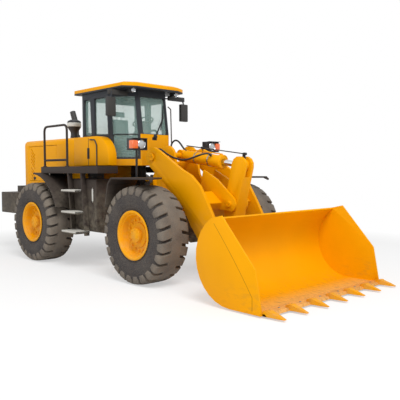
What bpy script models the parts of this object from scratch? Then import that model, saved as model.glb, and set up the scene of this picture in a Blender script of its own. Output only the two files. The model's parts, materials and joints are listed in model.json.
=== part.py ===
"""Articulated wheel loader of the five-tonne class, bucket on the ground.

Metres, +X forward, +Y left, +Z up. Pieces are drawn about the articulation pin, on the ground,
and an empty then carries them all so that the origin is the bottom centre of the whole machine.
"""
import math

import bmesh
import bpy
from mathutils import Matrix, Vector

# Fits and cuts
SEAT_GAP = 0.0003
PIN_CLEARANCE = 0.0006
SIDE_CLEARANCE = 0.0006
MOVING_GAP = 0.008
OVERRUN = 0.05
OVERLAP = 0.004
WELD_DISTANCE = 0.00003
ROUND_SIDES = 12

# Wheels
WHEELBASE = 3.40
TRACK = 2.25
TYRE_RADIUS = 0.805
TYRE_WIDTH = 0.58
LUG_HEIGHT = 0.040
LUGS_PER_SIDE = 23
LUG_BIAS_SHARE = 0.16
LUG_LEAST_SHARE = 0.02
CROWN_SKEW_SHARE = 0.9
CROWN_GROOVE = 0.07
SHOULDER_DROP = 0.060
SHOULDER_INSET = 0.012
SIDEWALL_RADIUS = 0.60
BEAD_RADIUS = 0.430
BEAD_INSET = 0.045
RIM_SEAT_RADIUS = 0.360
RIM_SEAT_HALF = 0.220
FLANGE_RADIUS = 0.406
FLANGE_THICKNESS = 0.020
FLANGE_LIP = 0.034
RIM_BARREL_RADIUS = 0.335
RIM_DISC_INNER = 0.075
RIM_DISC_OUTER = 0.115
HUB_RADIUS = 0.200
HUB_FACE = 0.205
HUB_CAP_RADIUS = 0.120
HUB_CAP_FACE = 0.220

# Axles
AXLE_TUBE_RADIUS = 0.115
AXLE_HUB_RADIUS = 0.170
AXLE_HUB_LENGTH = 0.36
DIFF_RADIUS = 0.235
DIFF_HALF = 0.20
SADDLE_HALF_LENGTH = 0.11
SADDLE_INNER = 0.20
SADDLE_OUTER = 0.32
SADDLE_TOP = 1.06

# Articulation joint
STEER_PIN_RADIUS = 0.045
JOINT_RADIUS = 0.13
UPPER_JOINT_Z = 1.28
LOWER_JOINT_Z = 0.58
TONGUE_HALF = 0.055
LUG_PLATE = 0.04
JOINT_WALL_X = 0.45
JOINT_WALL_THICKNESS = 0.05
JOINT_ROOT_HALF = 0.26
JOINT_WALL_HALF = 0.40
JOINT_WALL_BOTTOM = 0.44
JOINT_WALL_TOP = 1.42

# Rear frame and counterweight
BEAM_OUTER = 0.44
BEAM_PLATE = 0.04
REAR_FRAME_BACK = -3.28
REAR_BEAM_BOTTOM = 0.84
REAR_BEAM_TOP = 1.30
REAR_BEAM_DEEP_BOTTOM = 0.62
REAR_BEAM_DEEP_FROM = -1.20
REAR_CROSS_FRONT = -1.05
REAR_CROSS_MIDDLE = -2.40
DECK_HANGER_FRONT = -0.75
AXLE_ARCH_RADIUS = 0.17
COUNTERWEIGHT_BACK = -3.78
COUNTERWEIGHT_FRONT = -3.30
COUNTERWEIGHT_HALF = 1.08
COUNTERWEIGHT_BOTTOM = 0.89
COUNTERWEIGHT_TOP = 1.36
COUNTERWEIGHT_HORN_X = -2.62
COUNTERWEIGHT_HORN_IN = 0.60
COUNTERWEIGHT_ARCH_RADIUS = 0.95
TAIL_BLOCK_TOP = 1.50
TAIL_BLOCK_BACK = -3.70

# Engine, hood and side covers
ENGINE_BACK = -3.12
ENGINE_FRONT = -1.98
ENGINE_HALF = 0.36
ENGINE_BOTTOM = 0.98
ENGINE_TOP = 1.85
ENGINE_FOOT_OUT = BEAM_OUTER - BEAM_PLATE
HOOD_BACK = -3.27
HOOD_FRONT = -0.90
HOOD_HALF = 0.72
TAIL_BLOCK_HALF = HOOD_HALF
HOOD_BOTTOM = 1.52
HOOD_TOP = 2.53
HOOD_WALL = 0.03
HOOD_CORNER = 0.10
HOOD_DOOR_BACK = -3.08
HOOD_DOOR_FRONT = -1.82
HOOD_DOOR_BOTTOM = 1.62
HOOD_DOOR_TOP = 2.40
HOOD_DOOR_THICKNESS = 0.03
LOUVRE_COUNTS = (5, 4)
LOUVRE_SLOT = 0.022
LOUVRE_LENGTH = 0.24
LOUVRE_PITCH = 0.075
LOUVRE_TILT = math.radians(-42)
LOUVRE_BACK = -2.98
LOUVRE_LOWS = (2.05, 1.70)
GRILLE_HALF = HOOD_HALF - 0.16
GRILLE_BOTTOM = HOOD_DOOR_BOTTOM
GRILLE_TOP = HOOD_DOOR_TOP
GRILLE_FRAME = 0.05
GRILLE_SLATS = 8
GRILLE_SLAT_HEIGHT = 0.03
GRILLE_DEPTH = 0.03
COVER_BACK = -0.86
COVER_FRONT = 0.34
COVER_OUTER = 0.88
COVER_BOTTOM = 1.945
COVER_TOP = 2.50
COVER_ARC = 0.42

# Tanks, platforms, steps and rails
TANK_BACK = -0.62
TANK_FRONT = 0.25
TANK_INNER = 0.74
TANK_OUTER = 1.10
TANK_BOTTOM = 0.69
TANK_TOP = 1.70
TANK_CORNER = 0.16
DECK_BACK = -1.62
DECK_FRONT = 0.45
DECK_INNER = 0.76
DECK_OUTER = 1.20
DECK_BOTTOM = 1.80
DECK_TOP = 1.93
STEP_HALF = 0.25
STEP_THICKNESS = 0.045
STEP_ROWS = (
    # middle along the machine, tread height, outer edge
    (-0.36, 1.49, 1.33),
    (-0.30, 1.09, 1.37),
    (-0.24, 0.73, 1.40),
)
STEP_INNER = 1.10
STILE_THICKNESS = 0.02
STILE_DEPTH = 0.10
RAIL_RADIUS = 0.021
RAIL_Y = 1.13
RAIL_BACK = -1.58
RAIL_FRONT = -0.70
RAIL_TOP = 2.74
RAIL_MID = 2.06
RAIL_BEND = 0.12
REAR_FENDER_RADIUS = 0.98
REAR_FENDER_THICKNESS = 0.03
REAR_FENDER_INSET = 0.055
REAR_FENDER_OUTER = TRACK / 2 + TYRE_WIDTH / 2 - REAR_FENDER_INSET
REAR_FENDER_ANGLES = (math.radians(87), math.radians(20))
FRAME_BRACKET_HALF = 0.04

# Cab
CAB_BACK = -0.82
CAB_HALF = 0.70
CAB_CORNER_X = 0.10
CAB_FRONT = 0.62
CAB_FRONT_HALF = 0.33
CAB_LEAN = 0.11
CAB_WALL = 0.05
CAB_FLOOR = 1.945
CAB_FLOOR_THICKNESS = 0.06
CAB_WAIST = 2.53
CORNER_SILL_DROP = 0.44
REAR_SILL_RISE = 0.06
CAB_FOOT_INNER = 0.45
CAB_FOOT_OUTER = 0.62
CAB_TOP = 3.36
ROOF_BACK = -1.05
ROOF_FRONT = 0.71
ROOF_HALF = 0.74
ROOF_CORNER_HALF = 0.50
ROOF_CORNER_X = 0.58
ROOF_THICKNESS = 0.12
ROOF_CROWN = 0.03
ROOF_CROWN_LENGTH_SHARE = 0.90
ROOF_CROWN_WIDTH_SHARE = 0.86
ROOF_CROWN_SHIFT = 0.02
ROOF_LAMP_BACK = 0.50
ROOF_LAMP_FRONT = 0.62
ROOF_LAMP_Y = 0.52
ROOF_LAMP_HALF = 0.06
ROOF_LAMP_HEIGHT = 0.07
MIRROR_ARM_RADIUS = 0.014
MIRROR_ARM_BEND = 0.04
MIRROR_ARM_ROOT = 0.08
MIRROR_ARM_INSET = 0.12
MIRROR_ARM_DROP = 0.06
MIRROR_ELBOW_X = 0.42
MIRROR_ELBOW_Y = 0.86
MIRROR_TIP_X = 0.44
MIRROR_TIP_Y = 0.90
MIRROR_TIP_DROP = 0.22
MIRROR_BACK = 0.40
MIRROR_FRONT = 0.46
MIRROR_INNER = 0.80
MIRROR_OUTER = 0.98
MIRROR_DROP = 0.18
MIRROR_HEIGHT = 0.34
WINDOW_HEAD = 3.24
GLASS_THICKNESS = 0.012
GLASS_GAP = 0.0003
DOOR_BACK = -0.46
DOOR_FRONT = 0.08
DOOR_BOTTOM = 1.99
DOOR_TOP = 3.30
DOOR_FRAME = 0.07
DOOR_GAP = 0.006
DOOR_THICKNESS = 0.04
DOOR_PIN_RADIUS = 0.007
DOOR_PIN_REACH = 0.03
DOOR_HANDLE_INSET = 0.02
DOOR_HANDLE_WIDTH = 0.03
DOOR_HANDLE_REACH = 0.045
DOOR_HANDLE_BOTTOM = 2.25
DOOR_HANDLE_TOP = 2.50
SEAT_X = -0.30
SEAT_HALF = 0.24
SEAT_FRONT_REACH = 0.26
SEAT_CUSHION_BOTTOM = 0.38
SEAT_CUSHION_TOP = 0.50
SEAT_CORNER = 0.03
SEAT_BOX_HALF_LENGTH = 0.16
SEAT_BOX_HALF_WIDTH = 0.18
SEAT_BACK_BOTTOM = 0.44
SEAT_BACK_TOP = 1.06
SEAT_BACK_HALF = 0.23
SEAT_BACK_THICKNESS = 0.10
SEAT_BACK_TOP_THICKNESS = 0.09
SEAT_BACK_LEAN = 0.07
CONSOLE_X = 0.28
CONSOLE_FOOT = 0.14
CONSOLE_HEAD_HALF = 0.04
CONSOLE_HEIGHT = 0.70
CONSOLE_SLOPE = 0.02
CONSOLE_HALF = 0.07
STEERING_TILT = math.radians(24.8)
WHEEL_RING_RADIUS = 0.20
WHEEL_RING_THICKNESS = 0.015
WHEEL_RING_RISE = 0.08
WHEEL_DISH = 0.02
WHEEL_HUB_RADIUS = 0.03
WHEEL_HUB_REACH = 0.075

# Front frame and front fenders
TOWER_INNER = 0.24
TOWER_OUTER = 0.29
FRONT_FRAME_BOTTOM = 0.46
FRONT_FRAME_NOSE_X = 1.98
NOSE_HEIGHT = 0.10
NOSE_BAR_HEIGHT = 0.08
TOWER_HEEL_X = 0.86
TOWER_KNEE_X = 1.34
TOWER_FRONT_X = 1.56
TOWER_FRONT_Z = 1.78
TOWER_BACK_X = 0.80
TOWER_BACK_Z = 1.52
TOWER_RIM = 0.04
SLOPE_PLATE = 0.04
SLOPE_RUN = 0.22
SLOPE_RISE = 0.50
FRONT_SADDLE_BOTTOM = 1.06
BOOM_PIVOT_X = 1.28
BOOM_PIVOT_Z = 2.08
BOOM_PIVOT_RADIUS = 0.175
BOOM_PIN_RADIUS = 0.055
BOOM_BOSS_RADIUS = 0.07
FENDER_INNER = 0.84
FENDER_OVERHANG = 0.005
FENDER_OUTER = TRACK / 2 + TYRE_WIDTH / 2 + FENDER_OVERHANG
FENDER_TOP = 1.735
FENDER_THICKNESS = 0.03
FENDER_BACK = 1.06
FENDER_FRONT = 2.24
FENDER_FLAP_BOTTOM = 1.24
FENDER_FLAP_SLANT = -0.09
FENDER_BACK_BEND = 0.10
FENDER_FRONT_RUN = 0.06
FENDER_FRONT_DROP = 0.05
CARRIER_BACK = 1.44
CARRIER_FRONT = 1.52
CARRIER_BOTTOM = 1.08
CARRIER_DEPTH = 0.07
CARRIER_TYRE_GAP = 0.035
CARRIER_POST_OUTER = TRACK / 2 - TYRE_WIDTH / 2 - CARRIER_TYRE_GAP
CARRIER_POST_INNER = CARRIER_POST_OUTER - 0.08
CARRIER_PAD_OUTER = FENDER_INNER + 0.06
LAMP_X = 1.20
LAMP_Y = FENDER_INNER + 0.06
LAMP_Z = 2.30
LAMP_WIDTH = 0.30
LAMP_HEIGHT = 0.20
LAMP_DEPTH = 0.16

# Boom and its cylinders
ARM_INNER = 0.56
ARM_OUTER = 0.62
BOOM_LENGTH = 2.45
BOOM_REST_ANGLE = math.radians(-42.7)
HINGE_RADIUS = 0.15
PIN_REACH = 0.02
ARM_TOP_SHARES = (
    # distance from the pivot towards the bucket and rise over that line, as shares of the boom's length
    (0.024, 0.083), (0.28, 0.142), (0.38, 0.178), (0.487, 0.183), (0.601, 0.155), (0.738, 0.115),
)
ARM_BOTTOM_SHARES = ((0.831, -0.082), (0.71, -0.083), (0.604, -0.07), (0.458, -0.027), (0.151, -0.055))
BRACKET_SHARES = ((0.441, 0.196), (0.301, 0.155), (0.349, 0.067), (0.451, 0.017))
BRACKET_FOOT_BACK = 0.06
BRACKET_FOOT_FRONT = 0.03
HINGE_PIN_RADIUS = 0.05
CROSS_ANGLE = math.radians(-38)
CROSS_FROM = 1.15
CROSS_TO = 1.45
CROSS_HALF_HEIGHT = 0.16
LIFT_EYE_REACH = 0.95
LIFT_EYE_ANGLE = math.radians(-43)
LIFT_BASE_REACH = 0.95
LIFT_BASE_ANGLE = math.radians(-113)
LIFT_Y = 0.43
LIFT_BARREL_RADIUS = 0.085
LIFT_ROD_RADIUS = 0.045
LIFT_EYE_RADIUS = 0.085
LIFT_EYE_HALF = 0.05
LIFT_PIN_RADIUS = 0.04
LIFT_BARREL_END = 0.985
LIFT_ROD_START = 0.165
TILT_BASE_X = 1.36
TILT_BASE_Z = 2.12
TILT_BARREL_RADIUS = 0.105
TILT_ROD_RADIUS = 0.05
TILT_EYE_RADIUS = 0.10
TILT_EYE_HALF = 0.048
TILT_PIN_RADIUS = 0.05
TILT_BARREL_END = 1.06
TILT_ROD_START = 0.46
GLAND_LENGTH = 0.09
GLAND_EXTRA = 0.018
BARREL_TUBE_SHARE = 1.4
BARREL_NECK_SHARE = 1.7
BARREL_NECK_RADIUS_SHARE = 0.8
BARREL_BORE_SHARE = 1.8
ROD_EYE_SHARE = 0.5

# Rocker, link and bucket
ROCKER_X = 2.68
ROCKER_Z = 1.30
ROCKER_HEAD_X = 2.84
ROCKER_HEAD_Z = 1.93
ROCKER_TAIL_X = 2.63
ROCKER_TAIL_Z = 0.685
ROCKER_HALF = 0.11
ROCKER_HEAD_RADIUS = 0.145
ROCKER_WAIST_RADIUS = 0.14
ROCKER_TAIL_RADIUS = 0.11
ROCKER_PIN_RADIUS = 0.05
ROCKER_PLATE_INNER = 0.118
ROCKER_PLATE_OUTER = 0.158
ROCKER_SLOT_HALF = 0.055
ROCKER_HEAD_SLOT = 0.22
ROCKER_TAIL_SLOT = 0.25
ROCKER_SLOT_REACH = 0.3
PIN_CAP = 0.015
LINK_PIN_RADIUS = 0.035
LINK_HALF = 0.048
LINK_RADIUS = 0.09
LINK_FRONT_RADIUS = 0.085
LINK_END_X = 3.195
LINK_END_Z = 0.625
BUCKET_HALF = 1.485
BUCKET_ARC_X = 3.93
BUCKET_ARC_Z = 0.665
BUCKET_ARC_RADIUS = 0.64
BUCKET_LIP_ANGLE = math.radians(122)
BUCKET_PLATE = 0.025
BUCKET_SIDE_PLATE = 0.03
BUCKET_FLOOR_FRONT = 4.34
BUCKET_SIDE_TOP_X = 3.78
BUCKET_SIDE_TOP_Z = 1.25
BUCKET_SIDE_MID_X = 4.36
BUCKET_SIDE_MID_Z = 0.60
BUCKET_SIDE_TIP_X = 4.46
EDGE_FRONT = 4.54
EDGE_THICKNESS = 0.035
TOOTH_COUNT = 7
TOOTH_TIP = 4.79
TOOTH_HALF = 0.055
TOOTH_HEIGHT = 0.11
TOOTH_TIP_HEIGHT = 0.03
TOOTH_HEEL_SHARE = 0.8
BUCKET_EAR = 0.045
BUCKET_EAR_RADIUS = 0.13
BUCKET_STEPS = 12

# Exhaust and intake
EXHAUST_X = -2.02
EXHAUST_Y = -0.12
EXHAUST_RADIUS = 0.055
EXHAUST_TOP = 3.18
INTAKE_X = -1.70
INTAKE_Y = -0.36
INTAKE_BOWL_RADIUS = 0.17
INTAKE_BOWL_Z = 2.83
INTAKE_FOOT_SHARES = ((0, 0), (0.72, 0), (0.45, 0.8))
INTAKE_BOWL_SHARES = ((0.45, -0.3), (1, -0.2), (1, 0.25), (0.6, 0.5), (0, 0.55))

AXLE_X = WHEELBASE / 2
TYRE_FACE = TYRE_WIDTH / 2
RIGHT_AND_LEFT = (("right", -1), ("left", 1))
FRONT_AND_REAR = (("front", 1), ("rear", -1))

PAINT = ("paint_yellow", (0.86, 0.40, 0.01), 0.35, 0.0)
DARK_PAINT = ("paint_dark_grey", (0.075, 0.060, 0.052), 0.5, 0.0)
CAB_PAINT = ("paint_cab_grey", (0.055, 0.060, 0.070), 0.45, 0.0)
RUBBER = ("tyre_rubber", (0.070, 0.064, 0.058), 0.85, 0.0)
GLASS = ("tinted_glass", (0.45, 0.60, 0.55), 0.05, 0.0)
CHROME = ("chrome", (0.80, 0.80, 0.82), 0.12, 1.0)
SEAT_CLOTH = ("seat_cloth", (0.03, 0.03, 0.035), 0.9, 0.0)
BLACK_PLASTIC = ("black_plastic", (0.02, 0.02, 0.022), 0.55, 0.0)
WORN_STEEL = ("worn_steel", (0.22, 0.20, 0.18), 0.45, 0.8)


def polar(centre, radius, angle):
    return (centre[0] + radius * math.cos(angle), centre[1] + radius * math.sin(angle))


def arc(centre, radius, start, end, steps):
    """Points of an arc from the start angle to the end angle, both included."""
    return [polar(centre, radius, start + (end - start) * i / steps) for i in range(steps + 1)]


def capsule(first, first_radius, last, last_radius, steps=6):
    """The outline of two round ends joined by their outer tangents, counter-clockwise."""
    along = math.atan2(last[1] - first[1], last[0] - first[0])
    span = math.dist(first, last)
    lean = math.acos((first_radius - last_radius) / span)
    return (
        arc(first, first_radius, along + lean, along + 2 * math.pi - lean, steps)
        + arc(last, last_radius, along - lean, along + lean, steps)
    )


def rounded(corners, radii, steps=3):
    """A closed outline with each corner rounded by its own radius, zero for a sharp one."""
    outline = []
    for i, radius in enumerate(radii):
        corner = Vector(corners[i])
        back = (Vector(corners[i - 1]) - corner).normalized()
        ahead = (Vector(corners[(i + 1) % len(corners)]) - corner).normalized()
        if radius == 0:
            outline.append(tuple(corner))
            continue
        half = back.angle(ahead) / 2
        reach = radius / math.tan(half)
        centre = corner + (back + ahead).normalized() * radius / math.sin(half)
        first = corner + back * reach - centre
        last = corner + ahead * reach - centre
        start = math.atan2(first.y, first.x)
        turn = (math.atan2(last.y, last.x) - start + math.pi) % (2 * math.pi) - math.pi
        outline += arc(tuple(centre), radius, start, start + turn, steps)
    return outline


def hole_radius(pin_radius, sides):
    """A hole whose flats clear a pin of that many sides at any turn."""
    return (pin_radius + PIN_CLEARANCE) / math.cos(math.pi / sides)


def finished(bm):
    """The same shape with every face turned outward."""
    bmesh.ops.recalc_face_normals(bm, faces=bm.faces)
    if bm.calc_volume(signed=True) < 0:
        bmesh.ops.reverse_faces(bm, faces=bm.faces)
    return bm


def prism(outline, low, high, along="Y"):
    """A closed outline pushed from low to high. Its two coordinates are the other two axes."""
    place = {
        "X": lambda u, v, w: (w, u, v),
        "Y": lambda u, v, w: (u, w, v),
        "Z": lambda u, v, w: (u, v, w),
    }[along]
    bm = bmesh.new()
    lower = [bm.verts.new(place(u, v, low)) for u, v in outline]
    upper = [bm.verts.new(place(u, v, high)) for u, v in outline]
    bm.faces.new(lower)
    bm.faces.new(reversed(upper))
    for i in range(len(outline)):
        j = (i + 1) % len(outline)
        bm.faces.new((lower[i], upper[i], upper[j], lower[j]))
    return finished(bm)


def box(x, y, z):
    return prism([(x[0], y[0]), (x[1], y[0]), (x[1], y[1]), (x[0], y[1])], z[0], z[1], "Z")


def rod(start, end, radius, sides=ROUND_SIDES, end_radius=None, turn_share=0.0):
    """A round bar, or a cone where the end has a radius of its own."""
    start, end = Vector(start), Vector(end)
    bm = bmesh.new()
    bmesh.ops.create_cone(
        bm, cap_ends=True, segments=sides, radius1=radius,
        radius2=radius if end_radius is None else end_radius, depth=(end - start).length,
    )
    turn = (end - start).to_track_quat("Z", "Y").to_matrix().to_4x4()
    own = Matrix.Rotation(turn_share * 2 * math.pi / sides, 4, "Z")
    bm.transform(Matrix.Translation((start + end) / 2) @ turn @ own)
    return finished(bm)


def bore(start, end, pin_radius, sides=ROUND_SIDES):
    """A cutter for a hole in which a pin of that radius turns, its flats facing the pin's corners."""
    return rod(start, end, hole_radius(pin_radius, sides), sides, turn_share=0.5)


def cross_bore(point, pin_radius, low, high, sides=ROUND_SIDES):
    """A bore across the machine through a point of the side view."""
    return bore((point[0], low, point[1]), (point[0], high, point[1]), pin_radius, sides)


def turned(profile, centre, along, steps):
    """A closed profile of (radius, place along the axis) turned fully about that axis."""
    along = Vector(along)
    turn = along.to_track_quat("Z", "Y").to_matrix().to_4x4()
    bm = bmesh.new()
    rings = []
    for k in range(steps):
        angle = 2 * math.pi * k / steps
        rings.append([
            None if radius == 0 else bm.verts.new((radius * math.cos(angle), radius * math.sin(angle), h))
            for radius, h in profile
        ])
    poles = [bm.verts.new((0, 0, h)) if radius == 0 else None for radius, h in profile]
    for k in range(steps):
        here, there = rings[k], rings[(k + 1) % steps]
        for i in range(len(profile)):
            j = (i + 1) % len(profile)
            ring = [here[i] or poles[i], there[i] or poles[i], there[j] or poles[j], here[j] or poles[j]]
            corners = list(dict.fromkeys(ring))
            if len(corners) > 2:
                bm.faces.new(corners)
    bm.transform(Matrix.Translation(centre) @ turn)
    return finished(bm)


def pipe(points, radius, bend, sides=8, bend_steps=3):
    """A round tube bar along straight runs with rounded bends."""
    path = [Vector(points[0])]
    for before, corner, after in zip(points, points[1:], points[2:]):
        corner = Vector(corner)
        back = (Vector(before) - corner).normalized()
        ahead = (Vector(after) - corner).normalized()
        for i in range(bend_steps + 1):
            t = i / bend_steps
            path.append(corner + back * bend * (1 - t) ** 2 + ahead * bend * t ** 2)
    path.append(Vector(points[-1]))
    bm = bmesh.new()
    rings = []
    side = None
    for i, point in enumerate(path):
        behind = path[max(i - 1, 0)]
        beyond = path[min(i + 1, len(path) - 1)]
        heading = (beyond - behind).normalized()
        if side is None:
            side = heading.orthogonal().normalized()
        side = (side - heading * side.dot(heading)).normalized()
        other = heading.cross(side)
        rings.append([
            bm.verts.new(point + radius * (side * math.cos(a) + other * math.sin(a)))
            for a in (2 * math.pi * k / sides for k in range(sides))
        ])
    bm.faces.new(rings[0])
    bm.faces.new(reversed(rings[-1]))
    for near, far in zip(rings, rings[1:]):
        for k in range(sides):
            j = (k + 1) % sides
            bm.faces.new((near[k], far[k], far[j], near[j]))
    return finished(bm)


def mirrored(solids, side):
    """Solids drawn on the left, turned over to the right where side is -1."""
    for bm in solids:
        if side < 0:
            bm.transform(Matrix.Scale(-1, 4, (0, 1, 0)))
            finished(bm)
    return solids


def ring_of(points, thickness):
    """A plate outline: the points of its one face, and the same points moved sideways."""
    moved = []
    for i, point in enumerate(points):
        here = Vector(point)
        into = (here - Vector(points[max(i - 1, 0)])).normalized()
        out = (Vector(points[min(i + 1, len(points) - 1)]) - here).normalized()
        heading = (into + out).normalized()
        normal = Vector((-heading.y, heading.x))
        if 0 < i < len(points) - 1:
            normal /= max(heading.dot(into), 0.3)
        moved.append(tuple(Vector(point) + normal * thickness))
    return list(points) + moved[::-1]


class Machine:
    """The empties that carry each moving body, the materials and the nodes."""

    def __init__(self):
        self.bodies = {}
        self.places = {}
        self.materials = {}
        self.helpers = bpy.data.collections.new("helpers")
        self.helpers.hide_render = True
        bpy.context.scene.collection.children.link(self.helpers)

    def body(self, name, place, parent=None):
        empty = bpy.data.objects.new(f"{name}_joint", None)
        empty.empty_display_size = JOINT_RADIUS
        bpy.context.scene.collection.objects.link(empty)
        self.places[name] = Vector(place)
        if parent:
            empty.parent = self.bodies[parent]
            empty.location = self.places[name] - self.places[parent]
        self.bodies[name] = empty

    def material(self, finish):
        name, colour, roughness, metallic = finish
        if name not in self.materials:
            made = bpy.data.materials.new(name)
            made.use_nodes = True
            made.diffuse_color = (*colour, 1)
            shader = made.node_tree.nodes["Principled BSDF"]
            shader.inputs["Base Color"].default_value = (*colour, 1)
            shader.inputs["Roughness"].default_value = roughness
            shader.inputs["Metallic"].default_value = metallic
            self.materials[name] = made
        return self.materials[name]

    def object(self, name, body, bm):
        bm.transform(Matrix.Translation(-self.places[body]))
        mesh = bpy.data.meshes.new(name)
        bm.to_mesh(mesh)
        bm.free()
        made = bpy.data.objects.new(name, mesh)
        made.parent = self.bodies[body]
        return made

    def helper_group(self, name, body, solids):
        group = bpy.data.collections.new(name)
        self.helpers.children.link(group)
        for i, bm in enumerate(solids):
            helper = self.object(f"{name}_{i}", body, bm)
            helper.display_type = "WIRE"
            helper.hide_render = True
            group.objects.link(helper)
        return group

    def node(self, name, body, finish, solids, cuts=(), pins=()):
        """One solid: the first shape, joined with the others, then cut, then crossed by its pins."""
        made = self.object(name, body, solids[0])
        bpy.context.scene.collection.objects.link(made)
        made.data.materials.append(self.material(finish))
        made.data.shade_smooth()
        made.data.set_sharp_from_angle(angle=math.radians(35))
        steps = (("UNION", "joined", solids[1:]), ("DIFFERENCE", "cut", cuts), ("UNION", "pinned", pins))
        for operation, word, group in steps:
            if group:
                modifier = made.modifiers.new(word, "BOOLEAN")
                modifier.operation = operation
                modifier.solver = "EXACT"
                modifier.operand_type = "COLLECTION"
                modifier.collection = self.helper_group(f"{name}_{word}", body, group)
        if len(solids) > 1 or cuts:
            made.modifiers.new("slivers", "WELD").merge_threshold = WELD_DISTANCE
        return made


def boom_point(reach, rise=0.0, angle=BOOM_REST_ANGLE):
    """A point of the side view so far from the boom's pivot along a line at that angle, and above it."""
    ahead = Vector((math.cos(angle), math.sin(angle)))
    up = Vector((-ahead.y, ahead.x))
    return tuple(Vector((BOOM_PIVOT_X, BOOM_PIVOT_Z)) + ahead * reach + up * rise)


HOOD_HINGE = (HOOD_HALF - HOOD_DOOR_THICKNESS / 2, HOOD_DOOR_TOP - MOVING_GAP - HOOD_DOOR_THICKNESS / 2)
CAB_DOOR_HINGE = (DOOR_FRONT - DOOR_THICKNESS / 2, CAB_HALF - DOOR_THICKNESS / 2)
BOOM_PIVOT = (BOOM_PIVOT_X, BOOM_PIVOT_Z)
BUCKET_HINGE = boom_point(BOOM_LENGTH)
LIFT_EYE = polar(BOOM_PIVOT, LIFT_EYE_REACH, LIFT_EYE_ANGLE)
LIFT_BASE = polar(BOOM_PIVOT, LIFT_BASE_REACH, LIFT_BASE_ANGLE)
TILT_BASE = (TILT_BASE_X, TILT_BASE_Z)
ROCKER_PIVOT = (ROCKER_X, ROCKER_Z)
ROCKER_HEAD = (ROCKER_HEAD_X, ROCKER_HEAD_Z)
ROCKER_TAIL = (ROCKER_TAIL_X, ROCKER_TAIL_Z)
LINK_END = (LINK_END_X, LINK_END_Z)


def cross_rod(point, radius, low, high, sides=ROUND_SIDES):
    """A bar across the machine through a point of the side view."""
    return rod((point[0], low, point[1]), (point[0], high, point[1]), radius, sides)


def tyre_solid(x, side):
    """Carcass of rings with every other shoulder cell raised as a lug, the two sides staggered."""
    steps = 2 * LUGS_PER_SIDE
    crown = TYRE_RADIUS - LUG_HEIGHT
    half_profile = (
        # radius, place across, angular skew as a share of a step
        (RIM_SEAT_RADIUS, RIM_SEAT_HALF, 0),
        (BEAD_RADIUS, TYRE_FACE - BEAD_INSET, 0),
        (SIDEWALL_RADIUS, TYRE_FACE, 0),
        (crown - SHOULDER_DROP, TYRE_FACE - SHOULDER_INSET, 0),
        (crown, CROWN_GROOVE / 2, CROWN_SKEW_SHARE),
    )
    profile = [(r, -w, skew, -1) for r, w, skew in half_profile]
    profile += [(r, w, skew, 1) for r, w, skew in reversed(half_profile)]
    bm = bmesh.new()
    step_angle = 2 * math.pi / steps
    rings = []
    for k in range(steps):
        parity = 1 if k % 2 == 0 else -1
        ring = []
        for radius, across, skew, half in profile:
            bias = LUG_BIAS_SHARE * parity * half if radius > SIDEWALL_RADIUS else 0
            angle = (k + bias + skew) * step_angle
            ring.append(bm.verts.new((radius * math.cos(angle), across, radius * math.sin(angle))))
        rings.append(ring)
    lug_cells = ((2, -1), (3, -1), (5, 1), (6, 1))
    lugs = {}
    for k in range(steps):
        here, there = rings[k], rings[(k + 1) % steps]
        for i in range(len(profile)):
            j = (i + 1) % len(profile)
            face = bm.faces.new((here[i], here[j], there[j], there[i]))
            for cell, half in lug_cells:
                raised = (k % 2 == 1) == (half == 1)
                if cell == i and raised:
                    lugs.setdefault((k, half), []).append(face)
    finished(bm)
    for faces in lugs.values():
        raised = bmesh.ops.extrude_face_region(bm, geom=faces)["geom"]
        bmesh.ops.delete(bm, geom=faces, context="FACES_ONLY")
        for vert in (v for v in raised if isinstance(v, bmesh.types.BMVert)):
            from_axis = Vector((vert.co.x, 0, vert.co.z))
            share = min((from_axis.length - SIDEWALL_RADIUS) / (crown - SHOULDER_DROP - SIDEWALL_RADIUS), 1)
            vert.co += from_axis.normalized() * LUG_HEIGHT * max(share, LUG_LEAST_SHARE)
    bm.transform(Matrix.Translation((x, side * TRACK / 2, TYRE_RADIUS)))
    return finished(bm)


def rim_solid(x, side):
    flange_in = RIM_SEAT_HALF + (FLANGE_RADIUS - RIM_SEAT_RADIUS) * (
        (TYRE_FACE - BEAD_INSET - RIM_SEAT_HALF) / (BEAD_RADIUS - RIM_SEAT_RADIUS)
    ) + 2 * SEAT_GAP
    flange_out = flange_in + FLANGE_THICKNESS
    seat = RIM_SEAT_RADIUS - SEAT_GAP
    lip = FLANGE_RADIUS - FLANGE_LIP
    profile = [
        (0, HUB_CAP_FACE), (HUB_CAP_RADIUS, HUB_CAP_FACE), (HUB_RADIUS, HUB_FACE),
        (HUB_RADIUS, RIM_DISC_OUTER), (RIM_BARREL_RADIUS - FLANGE_THICKNESS, RIM_DISC_OUTER),
        (RIM_BARREL_RADIUS, RIM_SEAT_HALF), (lip, flange_out), (FLANGE_RADIUS, flange_out),
        (FLANGE_RADIUS, flange_in), (seat, RIM_SEAT_HALF + 2 * SEAT_GAP),
        (seat, -RIM_SEAT_HALF - 2 * SEAT_GAP), (FLANGE_RADIUS, -flange_in),
        (FLANGE_RADIUS, -flange_out), (lip, -flange_out), (RIM_BARREL_RADIUS, -RIM_SEAT_HALF),
        (RIM_BARREL_RADIUS, RIM_DISC_INNER), (0, RIM_DISC_INNER),
    ]
    return turned(profile, (x, side * TRACK / 2, TYRE_RADIUS), (0, side, 0), LUGS_PER_SIDE)


def build_wheels(machine):
    for end, sign in FRONT_AND_REAR:
        for word, side in RIGHT_AND_LEFT:
            x = sign * AXLE_X
            body = f"wheel_{end}_{word}"
            parent = "front" if end == "front" else "root"
            machine.body(body, (x, side * TRACK / 2, TYRE_RADIUS), parent)
            machine.node(f"tyre_{end}_{word}", body, RUBBER, [tyre_solid(x, side)])
            machine.node(f"rim_{end}_{word}", body, PAINT, [rim_solid(x, side)])


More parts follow.
